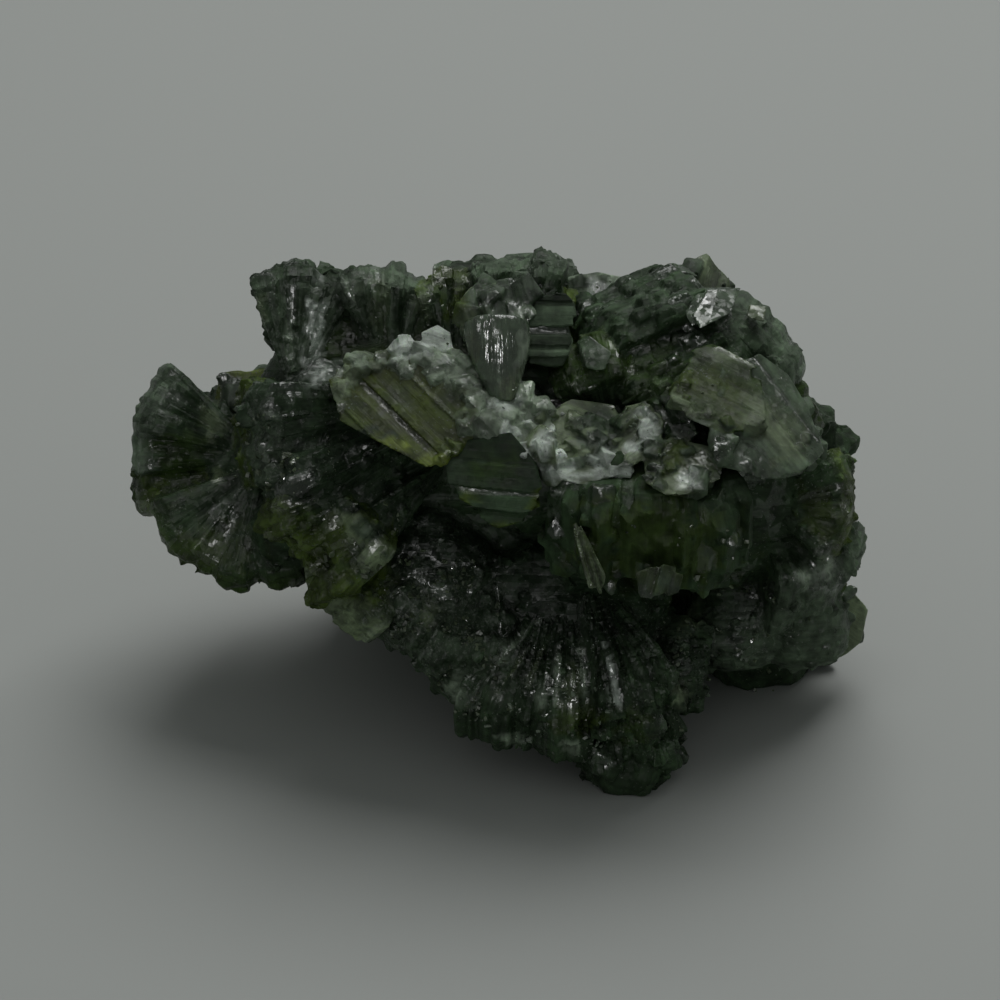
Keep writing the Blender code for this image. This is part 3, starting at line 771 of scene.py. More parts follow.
# Pale broken crystals: the corners of the front face, the piece they fuse into, their tint and
# depth, the direction their slabs are stacked in (u, v, w), slab thickness, how far slabs slip
# and lift and how their brightness varies, and where rubble lies on them: its place and radius,
# how many bits, their sizes and tint.
crystalPlan = {"depth": 5, "slip": 0.15, "lift": 0.1, "bright": (0.75, 1.3), "rough": ()}
crystals = {
    "paleLeft": {
        "face": ((-13.2, 38.6, -1.5), (-12.0, 40.2, -2.6), (-8.6, 40.9, -2.6), (-3.6, 41.2, -1.6),
                 (-1.8, 39.2, 0), (-0.9, 35.0, 1.8), (-3.0, 33.6, 3), (-5.6, 31.8, 3.5),
                 (-8.4, 33.2, 2.6), (-12.4, 35.4, 0.6)),
        "piece": "leftCrystal", "body": "leaf", "stack": (0.62, 0.78, 0.2), "slab": (0.25, 0.9),
        "slip": 0.3, "lift": 0.09, "bright": (0.4, 0.85),
        "rough": (((-11.0, 40.6, 2.2), 22, (0.8, 2.2), "sage"),
                  ((-7.0, 41.2, 2.2), 22, (0.8, 2.2), "pale"),
                  ((-3.4, 39.8, 2.2), 22, (0.8, 2.4), "pale"),
                  ((-13.0, 37.6, 1.2), 8, (0.6, 1.6), "sage"),
                  ((-1.6, 36.2, 1.8), 14, (0.8, 2.2), "pale"),
                  ((-4.0, 32.8, 1.2), 8, (0.5, 1.4), "moss")),
    },
    "whiteCubeLeft": {
        "face": ((-8.9, 41.2, -2), (-8.3, 42.0, -2.4), (-7.0, 42.2, -2.2), (-6.5, 41.4, -1.8),
                 (-7.6, 40.6, -1.4)),
        "piece": "leftCrystal", "body": "chalk", "depth": 1.6, "stack": (0.9, 0.3, 0.2),
        "slab": (0.5, 0.9),
    },
    "whiteCubeRight": {
        "face": ((-6.2, 42.4, -2), (-4.9, 43.0, -2.4), (-3.9, 42.4, -2.2), (-3.7, 40.9, -1.6),
                 (-6.0, 40.8, -1.4)),
        "piece": "leftCrystal", "body": "chalk", "depth": 2.0, "stack": (0.3, 0.9, 0.2),
        "slab": (0.9, 1.4),
    },
    "bandLeft": {
        "face": ((-2.8, 39.8, -0.6), (-0.6, 37.6, 0.4), (2.4, 37.8, 0), (4.0, 35.4, 1.0),
                 (4.9, 32.4, 2.8), (2.0, 32.0, 3.4), (-1.6, 34.2, 2.6), (-2.8, 36.2, 1.6)),
        "piece": "whiteBand", "body": "pale", "stack": (0.7, 0.2, 0.7), "slab": (0.6, 1.3), "slip": 0.5,
        "lift": 0.4,
        "rough": (((0.6, 35.4, 4.0), 50, (0.8, 2.6), "pale"),
                  ((2.6, 34.2, 2.6), 22, (0.8, 2.0), "chalk")),
    },
    "bandMiddle": {
        "face": ((3.2, 36.0, -0.4), (5.6, 37.2, -1.0), (8.6, 36.8, -0.8), (10.4, 34.0, 0.6),
                 (10.6, 31.4, 2.8), (6.6, 30.4, 3.6), (3.4, 31.2, 3.2)),
        "piece": "whiteBand", "body": "sage", "stack": (0.2, 0.8, 0.5), "slab": (0.5, 1.2), "slip": 0.4,
        "lift": 0.3,
        "rough": (((5.0, 33.6, 2.8), 26, (0.8, 2.4), "sage"), ((8.0, 33.6, 3.0), 30, (0.8, 2.2), "grey")),
    },
    "bandPlate": {
        "face": ((8.4, 34.4, 0.5), (9.8, 36.4, 0), (11.2, 36.9, 0.2), (12.8, 35.4, 0.9),
                 (12.4, 33.0, 2.2), (10.4, 32.0, 3), (8.8, 32.8, 2.5)),
        "piece": "whiteBand", "body": "sage", "stack": (0.8, -0.3, 0.5), "slab": (0.3, 0.9), "slip": 0.3,
        "lift": 0.3,
        "rough": (((11.2, 35.0, 2.4), 16, (0.8, 2.0), "sage"),),
    },
    "bandNose": {
        "face": ((11.4, 32.4, 2.6), (13.2, 34.2, 2.0), (16.8, 33.4, 3.0), (17.2, 31.0, 4.4),
                 (15.0, 29.8, 5.4), (13.2, 29.6, 5.6), (11.6, 30.6, 4.6)),
        "piece": "whiteBand", "body": "sage", "stack": (0.2, 0.8, 0.5), "slab": (0.3, 0.9), "slip": 0.4,
        "lift": 0.3,
        "rough": (((14.0, 31.6, 3.0), 30, (0.8, 2.2), "grey"),),
    },
    "bandHollow": {
        "face": ((10.4, 36.4, -2.4), (12.4, 38.6, -1.6), (14.8, 37.6, 0), (15.6, 34.4, 1.8),
                 (13.6, 32.8, 1.6), (11.4, 33.6, 0)),
        "piece": "whiteBand", "body": "dark", "depth": 6, "stack": (0.3, 0.8, 0.5), "slab": (0.5, 1.2),
        "slip": 0.4, "lift": 0.3,
        "rough": (((13.0, 35.6, 2.6), 22, (0.8, 2.0), "dark"),),
    },
    "middlePlate": {
        "face": ((-4.2, 33.0, 2.6), (-3.4, 33.8, 2.4), (0.6, 34.2, 3.2), (1.0, 34.6, 3.2),
                 (3.0, 32.2, 3.8), (3.5, 30.2, 4.2), (2.4, 29.4, 4.4), (-2.4, 29.8, 3.8),
                 (-4.0, 30.6, 3.2)),
        "piece": "middleTiers", "body": "sooty", "stack": (0.06, 0.95, 0.25), "slab": (1.4, 2.6),
        "slip": 0.2, "lift": 0.2, "bright": (0.9, 1.1),
    },
    "middleTierB": {
        "face": ((-3.4, 30.6, 3.2), (3.0, 30.2, 4.3), (3.1, 28.8, 4.9), (1.6, 28.2, 5.2),
                 (-1.6, 28.6, 4.6), (-3.0, 29.4, 3.9)),
        "piece": "middleTiers", "body": "sooty", "stack": (0.02, 0.95, 0.3), "slab": (0.5, 0.9),
        "slip": 0.3, "lift": 0.15,
    },
    "middleTierC": {
        "face": ((-1.8, 29.0, 3.9), (2.2, 28.8, 4.7), (1.9, 27.6, 5.1), (-0.2, 27.1, 5.1),
                 (-1.4, 27.9, 4.6)),
        "piece": "middleTiers", "body": "dark", "depth": 4, "stack": (0.02, 0.95, 0.3),
        "slab": (0.4, 0.8), "slip": 0.3, "lift": 0.15,
    },
    "shellHead": {
        "face": ((-3.2, 42.4, -1.9), (-3.0, 44.6, -2.4), (-1.6, 46.0, -3.0), (1.0, 46.3, -3.2),
                 (2.5, 45.0, -2.6), (2.4, 42.6, -1.6), (0.4, 41.6, -1.2), (-1.8, 41.6, -1.2)),
        "piece": "clearHead", "body": "grey", "stack": (0.9, 0.3, 0.3), "slab": (0.6, 1.3), "slip": 0.5,
        "lift": 0.4,
        "rough": (((-0.3, 44.0, 3.4), 26, (0.9, 2.4), "grey"),),
    },
    "stepStack": {
        "face": ((2.2, 45.2, -2.8), (4.6, 45.5, -3.0), (5.5, 44.6, -2.8), (5.9, 41.6, -2.0),
                 (4.8, 39.6, -1.6), (2.2, 40.0, -1.2)),
        "piece": "stepStack", "body": "grey", "depth": 6, "stack": (0.02, 1.0, 0.22), "slab": (0.4, 0.8),
        "slip": 0.5, "lift": 0.6, "bright": (0.3, 1.5),
    },
    "paleRight": {
        "face": ((13.0, 37.6, 2.2), (13.8, 39.4, 1.0), (14.6, 40.6, 0.2), (17.0, 41.4, -0.6),
                 (20.0, 39.8, 0.4), (20.4, 35.6, 3.0), (17.6, 34.4, 3.9), (14.8, 35.6, 3.4)),
        "piece": "rightCrystal", "body": "deep", "depth": 6, "stack": (0.35, 0.85, 0.3),
        "slab": (0.6, 1.6), "slip": 0.5, "bright": (0.85, 1.15),
        "rough": (((13.6, 38.2, 1.8), 10, (0.6, 1.8), "olive"),
                  ((14.6, 36.2, 1.8), 6, (0.6, 1.4), "sage")),
    },
    "paleRightOuter": {
        "face": ((17.6, 39.8, 0.4), (20.4, 40.6, -1.0), (22.6, 39.0, -1.2), (24.2, 36.4, -0.2),
                 (25.4, 33.0, 1.2), (23.6, 31.2, 2.8), (20.4, 31.0, 4), (17.0, 31.8, 4.6),
                 (16.6, 34.0, 4.2)),
        "piece": "rightCrystal", "body": "grey", "depth": 7, "stack": (0.7, 0.6, 0.3), "slab": (0.8, 2.0),
        "slip": 0.3, "lift": 0.12, "bright": (0.85, 1.15),
        "rough": (((24.0, 34.4, 2.4), 12, (0.8, 2.2), "grey"),
                  ((18.2, 33.2, 2.4), 18, (0.8, 2.0), "grey")),
    },
    # The glint blocks are tilted to mirror the ceiling light; the grey and sage bodies of the first two are
    # paler than the dome around them, in part a painted highlight.
    "glintBlock": {
        "face": ((15.0, 43.8, -1.9), (16.2, 45.8, -3.9), (18.8, 45.9, -4.4), (18.0, 43.9, -2.5),
                 (15.6, 42.7, -1.0)),
        "piece": "glintBlocks", "body": "grey", "depth": 2.2, "stack": (0.12, 0.66, 0.74),
        "slab": (0.3, 0.7), "slip": 0.7, "lift": 0.3, "bright": (0.8, 1.6),
    },
    "glintBlockSmall": {
        "face": ((19.3, 43.6, -3.6), (19.5, 44.6, -4.5), (20.8, 44.4, -4.6), (20.6, 43.2, -3.5)),
        "piece": "glintBlocks", "body": "sage", "depth": 1.4, "stack": (0.12, 0.66, 0.74),
        "slab": (0.3, 0.6),
    },
    "glintBlockMiddle": {
        "face": ((6.0, 41.6, -1.7), (6.8, 42.2, -2.3), (8.6, 40.8, -1.3), (8.0, 39.4, 0), (6.6, 39.6, 0)),
        "piece": "glintBlocks", "body": "dark", "depth": 2.0, "stack": (0.12, 0.66, 0.74),
        "slab": (0.3, 0.7), "slip": 0.2,
    },
    "paleBack": {
        "face": ((5.0, 42.0, -14), (5.2, 46.6, -15), (7.6, 47.1, -15.5), (10.6, 46.6, -15),
                 (10.6, 42.0, -14)),
        "piece": "backCrystals", "body": "pale", "depth": 2.4, "stack": (1, 0.2, 0), "slab": (0.8, 1.8),
        "bright": (0.7, 1.4),
    },
    "domeTip": {
        "face": ((13.6, 43.0, -13), (14.0, 47.4, -14), (16.2, 48.7, -15), (18.0, 46.4, -14),
                 (17.6, 43.0, -13)),
        "piece": "backCrystals", "body": "sage", "depth": 2.6, "stack": (1, -0.3, 0), "slab": (0.6, 1.4),
    },
    "leftPaleBack": {
        "face": ((-22.6, 36.0, -20), (-21.9, 39.2, -20), (-18.0, 39.6, -20), (-15.6, 37.0, -19)),
        "piece": "backCrystals", "body": "lime", "depth": 2.6, "stack": (1, 0, 0), "slab": (0.8, 1.6),
    },
    "lowRightTip": {
        "face": ((23.6, 17.6, -17), (23.6, 21.4, -17), (27.6, 22.2, -19), (28.9, 20.7, -20),
                 (28.3, 18.4, -20), (26.6, 17.0, -19)),
        "piece": "backCrystals", "body": "sage", "depth": 3, "stack": (0.5, 0.8, 0), "slab": (0.6, 1.4),
        "rough": ((None, 36, (0.8, 2.0), "grey"),),
    },
    "bladeChip": {
        "face": ((5.7, 27.0, 6.0), (6.3, 27.3, 6.0), (8.3, 23.4, 5.8), (8.1, 22.3, 5.6),
                 (6.9, 22.4, 5.6)),
        "piece": "smallChips", "body": "sage", "depth": 2.4, "stack": (0.95, 0.3, 0), "slab": (0.25, 0.5),
        "slip": 0.4, "lift": 0.3, "bright": (0.4, 1.5),
    },
    "chipRow": {
        "face": ((10.6, 23.6, 5.4), (12.2, 24.2, 5.4), (14.4, 23.7, 4.9), (14.0, 22.3, 4.6),
                 (12.2, 21.6, 4.8), (10.8, 21.8, 5.0)),
        "piece": "smallChips", "body": "grey", "depth": 2.6, "stack": (1.0, -0.3, 0), "slab": (0.8, 1.3),
        "slip": 0.3, "lift": 0.3, "bright": (0.6, 1.8),
    },
}

# How each pale piece is finished, and places on it with a tint or gloss of their own.
crystalLook = {"voxel": 0.13, "soften": 0, "keep": 0.18, "crease": 16, "ridge": 0.04, "ridgeSize": 0.5,
               "lump": 0.05, "grit": 0.0, "finish": "palePrehnite", "spots": ()}
crystalFinish = {
    "leftCrystal": {
        "spots": (spot(-11.2, 40.4, 2.2, 1.0, "pale"), spot(-7.2, 41.2, 2.6, 0.8, "chalk", 0.6),
                  spot(-3.4, 39.4, 1.8, 2.2, "pale"), spot(-13.0, 37.6, 0.9, 1.6, "sage"),
                  spot(-1.6, 36.0, 1.4, 2.0, "pale"), spot(-3.4, 36.6, 1.8, 1.8, "olive", 0.7),
                  # The two lime places along the lower edge are painted glow: the crystal's yellow-green,
                  # brightened as light comes through the thin edge.
                  spot(-5.0, 32.2, 1.8, 1.0, "lime"), spot(-8.6, 33.4, 2.6, 0.7, "lime"),
                  spot(-11.6, 35.6, 1.8, 0.8, "moss"), spot(-8.2, 37.2, 1.6, 1.6, "deep", 0.5, gloss=0.2),
                  spot(-7.8, 41.5, 1.2, 1.2, "chalk"), spot(-5.0, 42.1, 1.6, 1.6, "chalk")),
    },
    "whiteBand": {
        "spots": (spot(0.3, 37.0, 1.6, 0.6, "chalk"), spot(3.4, 33.6, 1.0, 1.4, "chalk"),
                  spot(5.0, 31.3, 1.8, 1.1, "chalk"), spot(8.2, 32.6, 1.2, 1.6, "chalk"),
                  spot(9.6, 31.2, 1.3, 0.7, "chalk"), spot(11.4, 35.0, 1.2, 1.4, "chalk"),
                  spot(10.2, 33.4, 0.9, 0.5, "chalk"), spot(5.4, 35.0, 1.2, 1.8, "sage", 0.6),
                  spot(8.2, 35.4, 2.2, 1.4, "dark"), spot(6.6, 33.8, 1.0, 1.0, "grey"),
                  # The full-gloss chalk place at 14.6, 31.2 is a painted highlight on the pale crystal.
                  spot(14.6, 31.2, 1.0, 1.0, "chalk", gloss=1.0), spot(13.6, 32.8, 1.4, 1.4, "olive"),
                  spot(15.9, 32.6, 0.8, 0.8, gloss=1.0)),
    },
    "middleTiers": {
        "spots": (spot(0.2, 27.3, 1.6, 0.5, "olive"), spot(-2.8, 29.6, 0.7, 1.2, "olive"),
                  spot(2.9, 29.2, 0.6, 1.4, "olive"), spot(-3.6, 32.4, 1.0, 1.4, "grey", 0.5),
                  spot(-0.6, 31.4, 2.0, 1.6, "deep", 0.7)),
        "ridge": 0.02, "keep": 0.1, "crease": 12, "finish": "waxyPrehnite",
    },
    "clearHead": {
        # The two pale glossy places are painted highlights on the clear head.
        "spots": (spot(-1.0, 44.0, 0.8, 0.8, "pale", gloss=1.0),
                  spot(1.8, 43.8, 1.0, 1.0, "pale", gloss=0.8), spot(-2.4, 43.2, 1.0, 1.0, "sage"),
                  spot(0.2, 45.2, 1.2, 1.2, "grey")),
        "keep": 0.5, "soften": 1, "crease": 26,
    },
    "stepStack": {"ridge": 0.02, "finish": "waxyPrehnite"},
    "rightCrystal": {
        "spots": (spot(13.8, 36.8, 0.8, 1.4, "sage"), spot(15.8, 38.8, 2.2, 1.8, "olive"),
                  spot(18.2, 36.8, 1.4, 2.4, "moss", 0.6), spot(20.6, 36.0, 1.6, 2.4, "sage"),
                  spot(22.4, 34.0, 1.6, 2.4, "sage"), spot(21.8, 37.8, 1.2, 1.8, "grey"),
                  spot(17.6, 40.6, 2.4, 0.7, "sage"), spot(17.4, 33.4, 1.0, 1.0, "dark", gloss=1.0),
                  spot(15.0, 35.2, 1.2, 0.5, "pale"), spot(19.4, 32.8, 1.1, 1.1, gloss=1.0)),
        "soften": 1, "keep": 0.2, "crease": 20, "lump": 0.05,
    },
    "glintBlocks": {
        "spots": (spot(16.9, 44.4, 3.0, 3.0, gloss=1.0), spot(20.0, 44.0, 1.6, 1.6, gloss=1.0),
                  spot(7.3, 41.0, 0.9, 1.2, gloss=0.6)),
        "finish": "darkPrehnite", "voxel": 0.14,
    },
    "backCrystals": {
        "spots": (spot(7.6, 45.4, 1.3, 1.3, "chalk", gloss=0.6), spot(26.4, 19.2, 1.6, 1.6, "sage")),
        "voxel": 0.26, "soften": 2, "keep": 0.5, "crease": 30,
    },
    "smallChips": {"ridge": 0.02},
}

# Pale crystals are stacks of thin slabs that broke off unevenly.
slabs = {"softEdge": 0.05, "taper": 0.9, "overlap": 1.06, "leastSlab": 0.1,
         "rubble": {"voxel": 0.35, "along": 0.2, "bright": (0.7, 1.3), "tall": 0.42}}


def cutSlab(block, low, high, axis):
    piece = showPiece("slab", block.data.copy())
    editFresh(piece)
    breakOff(axis * low, axis, inner=True)
    breakOff(axis * high, axis)
    bpy.ops.mesh.convex_hull()
    bpy.ops.mesh.select_all(action="SELECT")
    softenEdges(slabs["softEdge"])
    return readForm(piece)


def growCrystal(name, spec, pile, chipForm):
    chance = random.Random(name)
    face = spec["face"]
    middle = sum((Vector(corner) for corner in face), Vector()) / len(face)
    corners = [seen(*corner) for corner in face]
    for corner in face:
        back = middle + (Vector(corner) - middle) * slabs["taper"]
        corners.append(seen(back.x, back.y, back.z - spec["depth"]))
    points, faces = hullOf(corners)
    block = newPiece("block", points / mm, faces)
    axis, towards = turned(*spec["stack"]), turned(0, 0, 1)
    slip = axis.cross(towards).normalized()
    basis = Matrix((slip, axis, slip.cross(axis).normalized()))
    heights = points @ np.array(axis) / mm
    at, end = heights.min(), heights.max()
    while at < end - slabs["leastSlab"]:
        step = min(chance.uniform(*spec["slab"]), end - at)
        slabPoints, slabFaces = cutSlab(block, at, at + step * slabs["overlap"], axis)
        at += step
        if len(slabPoints) < 4:
            continue
        move = slip * chance.uniform(-1, 1) * spec["slip"] + towards * chance.uniform(-1, 1) * spec["lift"]
        tint = tints[spec["body"]] * chance.uniform(*spec["bright"])
        owner = pile.own(seen(*middle), basis, 1.0, tint, tint, True)
        pile.add((slabPoints + np.array(move)) * mm, slabFaces, owner)
    takeAway(block)
    for index, (where, count, size, tint) in enumerate(spec["rough"]):
        addChips(pile, count, size, name + str(index), chipForm, where=where, tint=tint, **slabs["rubble"])


# Materials
stoneLook = {
    "darkPrehnite": {"rough": (0.34, 0.60), "glossRough": 0.16, "clear": 0.0, "glow": 0.0, "mottle": 0.6,
                     "line": 0.5, "grit": 0.4, "sheen": 0.11, "facet": 0.35, "blade": 0.6, "clean": 0.66},
    "waxyPrehnite": {"rough": (0.40, 0.60), "glossRough": 0.15, "clear": 0.0, "glow": 0.0, "mottle": 0.45,
                     "line": 0.35, "grit": 0.3, "sheen": 0.04, "facet": 0.2, "blade": 0.3, "clean": 0.8},
    "palePrehnite": {"rough": (0.40, 0.60), "glossRough": 0.12, "clear": 0.2, "glow": 0.12, "mottle": 0.5,
                     "line": 0.5, "grit": 0.4, "sheen": 0.05, "facet": 0.25, "blade": 0.2, "clean": 0.66},
    "glassyPrehnite": {"rough": (0.16, 0.30), "glossRough": 0.10, "clear": 0.45, "glow": 0.0, "mottle": 0.4,
                       "line": 0.8, "grit": 0.12, "sheen": 0.3, "facet": 0.10, "blade": 0.2, "clean": 0.66},
    "sugaryGrain": {"rough": (0.30, 0.60), "glossRough": 0.12, "clear": 0.12, "glow": 0.0, "mottle": 0.3,
                    "line": 0.0, "grit": 0.3, "sheen": 0.3, "facet": 0.3, "blade": 0.0, "clean": 0.66},
}
stoneOptics = {"ior": 1.63, "glowRadius": (0.5, 0.8, 0.35), "dustTint": (0.16, 0.19, 0.15), "shine": 0.5}
# Scales of the patterns: to a metre, or along and across the grain map.
stoneGrain = {"clouds": 620.0, "specks": 4600.0, "facets": 2600.0, "stretch": (2.6, 1.6, 1.0),
              "streaks": 1.0, "blades": 0.5, "middle": (0.3, 0.7), "lighter": 1.2, "lineShare": 0.6,
              "dustReach": 0.17, "dustEdge": 0.08, "gritDepth": 0.00005, "grooveDepth": 0.00015}


def link(tree, source, output, target, socket):
    tree.links.new(source.outputs[output], target.inputs[socket])


def addNode(tree, kind, settings=None, values=None):
    node = tree.nodes.new("ShaderNode" + kind)
    for name, setting in (settings or {}).items():
        setattr(node, name, setting)
    for socket, value in (values or {}).items():
        node.inputs[socket].default_value = value
    return node


def rangeNode(tree, source, output, low, high, toLow, toHigh):
    values = {"From Min": low, "From Max": high, "To Min": toLow, "To Max": toHigh}
    node = addNode(tree, "MapRange", values=values)
    link(tree, source, output, node, "Value")
    return node


def noiseNode(tree, source, output, scale, detail):
    node = addNode(tree, "TexNoise", values={"Scale": scale, "Detail": detail, "Roughness": 0.6})
    link(tree, source, output, node, "Vector")
    return node


def mathNode(tree, operation, *values):
    node = addNode(tree, "Math", {"operation": operation})
    for index, value in enumerate(values):
        if isinstance(value, (int, float)):
            node.inputs[index].default_value = value
        else:
            tree.links.new(value, node.inputs[index])
    return node.outputs[0]


def bumpNode(tree, source, strength, depth):
    node = addNode(tree, "Bump", values={"Strength": strength, "Distance": depth})
    link(tree, source, "Fac", node, "Height")
    return node


def facetNode(tree, normal, source, output, scale, strength):
    # Small flat facets: every cell leans the normal its own way.
    cells = addNode(tree, "TexVoronoi", values={"Scale": scale})
    link(tree, source, output, cells, "Vector")
    values = {1: (strength,) * 3, 2: (-strength / 2,) * 3}
    lean = addNode(tree, "VectorMath", {"operation": "MULTIPLY_ADD"}, values)
    link(tree, cells, "Color", lean, 0)
    leaning = addNode(tree, "VectorMath", {"operation": "ADD"})
    link(tree, normal, 0, leaning, 0)
    link(tree, lean, "Vector", leaning, 1)
    facet = addNode(tree, "VectorMath", {"operation": "NORMALIZE"})
    link(tree, leaning, "Vector", facet, 0)
    return facet


def prehniteMaterial(name):
    look, grain = stoneLook[name], stoneGrain
    material = bpy.data.materials.new(name)
    material.use_nodes = True
    tree = material.node_tree
    shader = tree.nodes["Principled BSDF"]
    shader.inputs["IOR"].default_value = stoneOptics["ior"]
    shader.inputs["Transmission Weight"].default_value = look["clear"]
    shader.inputs["Subsurface Weight"].default_value = look["glow"]
    shader.inputs["Subsurface Radius"].default_value = stoneOptics["glowRadius"]
    shader.inputs["Subsurface Scale"].default_value = mm
    place = addNode(tree, "TexCoord")
    tint = addNode(tree, "VertexColor", {"layer_name": "tint"})
    dustAmount = addNode(tree, "Attribute", {"attribute_name": "dust"})
    grainMap = addNode(tree, "UVMap", {"uv_map": "grain"})
    stretch = addNode(tree, "Mapping", values={"Scale": grain["stretch"]})
    link(tree, grainMap, "UV", stretch, "Vector")

    # Colour: cloudy, with fine streaks along the growth, and pale dust in fine specks.
    clouds = noiseNode(tree, place, "Object", grain["clouds"], 5.0)
    streaks = noiseNode(tree, stretch, "Vector", grain["streaks"], 3.0)
    specks = noiseNode(tree, place, "Object", grain["specks"], 2.0)
    mottle, line = look["mottle"], look["line"] * grain["lineShare"]
    shade = rangeNode(tree, clouds, "Fac", *grain["middle"], 1.0 - mottle, 1.0 + mottle * grain["lighter"])
    streaked = rangeNode(tree, streaks, "Fac", *grain["middle"], 1.0 - line, 1.0 + line)
    colour = addNode(tree, "VectorMath", {"operation": "SCALE"})
    link(tree, tint, "Color", colour, 0)
    tree.links.new(mathNode(tree, "MULTIPLY", shade.outputs[0], streaked.outputs[0]), colour.inputs["Scale"])
    level = mathNode(tree, "MULTIPLY_ADD", dustAmount.outputs["Fac"], grain["dustReach"], -look["clean"])
    raised = mathNode(tree, "ADD", specks.outputs["Fac"], level)
    dust = addNode(tree, "MapRange", values={"From Max": grain["dustEdge"]})
    tree.links.new(raised, dust.inputs["Value"])
    dusted = addNode(tree, "Mix", {"data_type": "RGBA"}, {"B": (*stoneOptics["dustTint"], 1)})
    link(tree, dust, "Result", dusted, "Factor")
    link(tree, colour, "Vector", dusted, "A")
    link(tree, dusted, "Result", shader, "Base Color")

    # Roughness: matt and glossy places, the gloss kept in the tint's alpha.
    matt = rangeNode(tree, clouds, "Fac", *grain["middle"], *look["rough"])
    sheen = addNode(tree, "Mix", {"data_type": "FLOAT"}, {"B": look["glossRough"]})
    link(tree, tint, "Alpha", sheen, "Factor")
    mirror = rangeNode(tree, tint, "Alpha", 0.0, 1.0, look["sheen"], look["sheen"] + stoneOptics["shine"])
    link(tree, mirror, "Result", shader, "Specular IOR Level")
    link(tree, matt, "Result", sheen, "A")
    link(tree, sheen, "Result", shader, "Roughness")

    # Relief too fine for the mesh.
    grit = bumpNode(tree, specks, look["grit"], grain["gritDepth"])
    groove = bumpNode(tree, streaks, look["line"], grain["grooveDepth"])
    link(tree, grit, "Normal", groove, "Normal")
    facets = facetNode(tree, groove, place, "Object", grain["facets"], look["facet"])
    blades = facetNode(tree, facets, stretch, "Vector", grain["blades"], look["blade"])
    link(tree, blades, "Vector", shader, "Normal")
    return material


# Where sugary grains lie: place and radius in the front view, how many, their sizes and tint.
grainFields = (
    ((-5.0, 20.5, 5.0), 420, (0.12, 0.55), "sage"),
    ((-1.5, 15.5, 3.6), 260, (0.12, 0.5), "sage"),
    ((0.5, 12.0, 2.6), 90, (0.12, 0.6), "pale"),
    ((6.0, 11.5, 3.4), 90, (0.10, 0.5), "pale"),
    ((5.6, 17.0, 3.6), 100, (0.06, 0.16), "chalk"),
    ((12.0, 11.6, 2.6), 60, (0.10, 0.4), "sage"),
    ((14.6, 18.0, 3.0), 90, (0.10, 0.5), "sage"),
    ((19.5, 19.0, 5.0), 140, (0.10, 0.4), "sage"),
    ((16.6, 25.0, 3.0), 50, (0.10, 0.5), "sage"),
    ((8.0, 25.0, 4.4), 14, (0.08, 0.25), "grey"),
    ((-11.0, 26.0, 4.0), 100, (0.12, 0.6), "sage"),
    ((-18.6, 33.0, 3.0), 160, (0.12, 0.6), "sage"),
    ((-12.0, 31.0, 5.0), 60, (0.06, 0.2), "sage"),
    ((-6.6, 38.0, 5.4), 60, (0.06, 0.25), "pale"),
    ((2.4, 36.2, 2.6), 60, (0.08, 0.4), "chalk"),
    ((8.6, 34.2, 2.8), 50, (0.08, 0.4), "pale"),
    ((15.0, 32.6, 2.6), 60, (0.08, 0.4), "pale"),
    ((21.0, 35.0, 4.4), 30, (0.06, 0.2), "pale"),
    ((12.0, 42.0, 6.0), 90, (0.06, 0.25), "sage"),
    ((-2.0, 43.6, 5.0), 70, (0.06, 0.25), "sage"),
)
grainHabit = {
    "heap": 2.2,
    "cuts": (((0.2, 0.1, 0.3), (0.6, 0.4, 0.7)), ((-0.3, 0.2, -0.2), (-0.8, 0.5, -0.3))),
    "wide": (0.4, 1),
    "high": (0.3, 0.8),
    "lift": 0.1,
    "bright": (0.5, 1.2),
    "gloss": 0.9,
    "shining": 0.3,
}


def makeGrainForm():
    startClean()
    bpy.ops.mesh.primitive_cube_add(size=1.0)
    piece = bpy.context.active_object
    editFresh(piece)
    for place, normal in grainHabit["cuts"]:
        breakOff(place, normal)
    return readForm(piece)


def strewGrains(name, form):
    # Tiny broken bits that lie on the front of the stone, found along the lines of sight.
    bpy.context.view_layer.update()
    depths = bpy.context.evaluated_depsgraph_get()
    pile, shades = Pile(), []
    chance = random.Random(name)
    start = seen(0, eye["level"], eye["away"] - 1)
    for (u, v, radius), count, size, tint in grainFields:
        for _ in range(count):
            turn, far = chance.uniform(*fullTurn), radius * math.sqrt(chance.random())
            aim = seen(u + far * math.cos(turn), v + far * math.sin(turn), 0)
            sight = (aim - start).normalized()
            hit, place, normal, _, _, _ = bpy.context.scene.ray_cast(depths, start, sight)
            big = between(size, chance.random() ** 3)
            spin = Matrix.Rotation(chance.uniform(*fullTurn), 3, anyWay(chance))
            if not hit or noise.noise(place / (grainHabit["heap"] * mm)) < 0:
                continue
            shape = np.array((1, chance.uniform(*grainHabit["wide"]), chance.uniform(*grainHabit["high"])))
            middle = place + normal * big * grainHabit["lift"]
            points = (form[0] * shape * big) @ np.array(spin).T + np.array(middle)
            pile.add(points, form[1], 0)
            shade = tints[tint] * chance.uniform(*grainHabit["bright"])
            gloss = grainHabit["gloss"] * (chance.random() < grainHabit["shining"])
            shades.append(np.tile((*shade, gloss), (len(points), 1)))
    piece = pile.piece(name)
    mesh = piece.data
    addTints(mesh, np.concatenate(shades))
    mesh.attributes.new(name="dust", type="FLOAT", domain="POINT")
    mesh.uv_layers.new(name="grain")
    mesh.materials.append(materials["sugaryGrain"])
    wearFlat(piece)
    print(name, len(mesh.polygons), "triangles")
    return piece


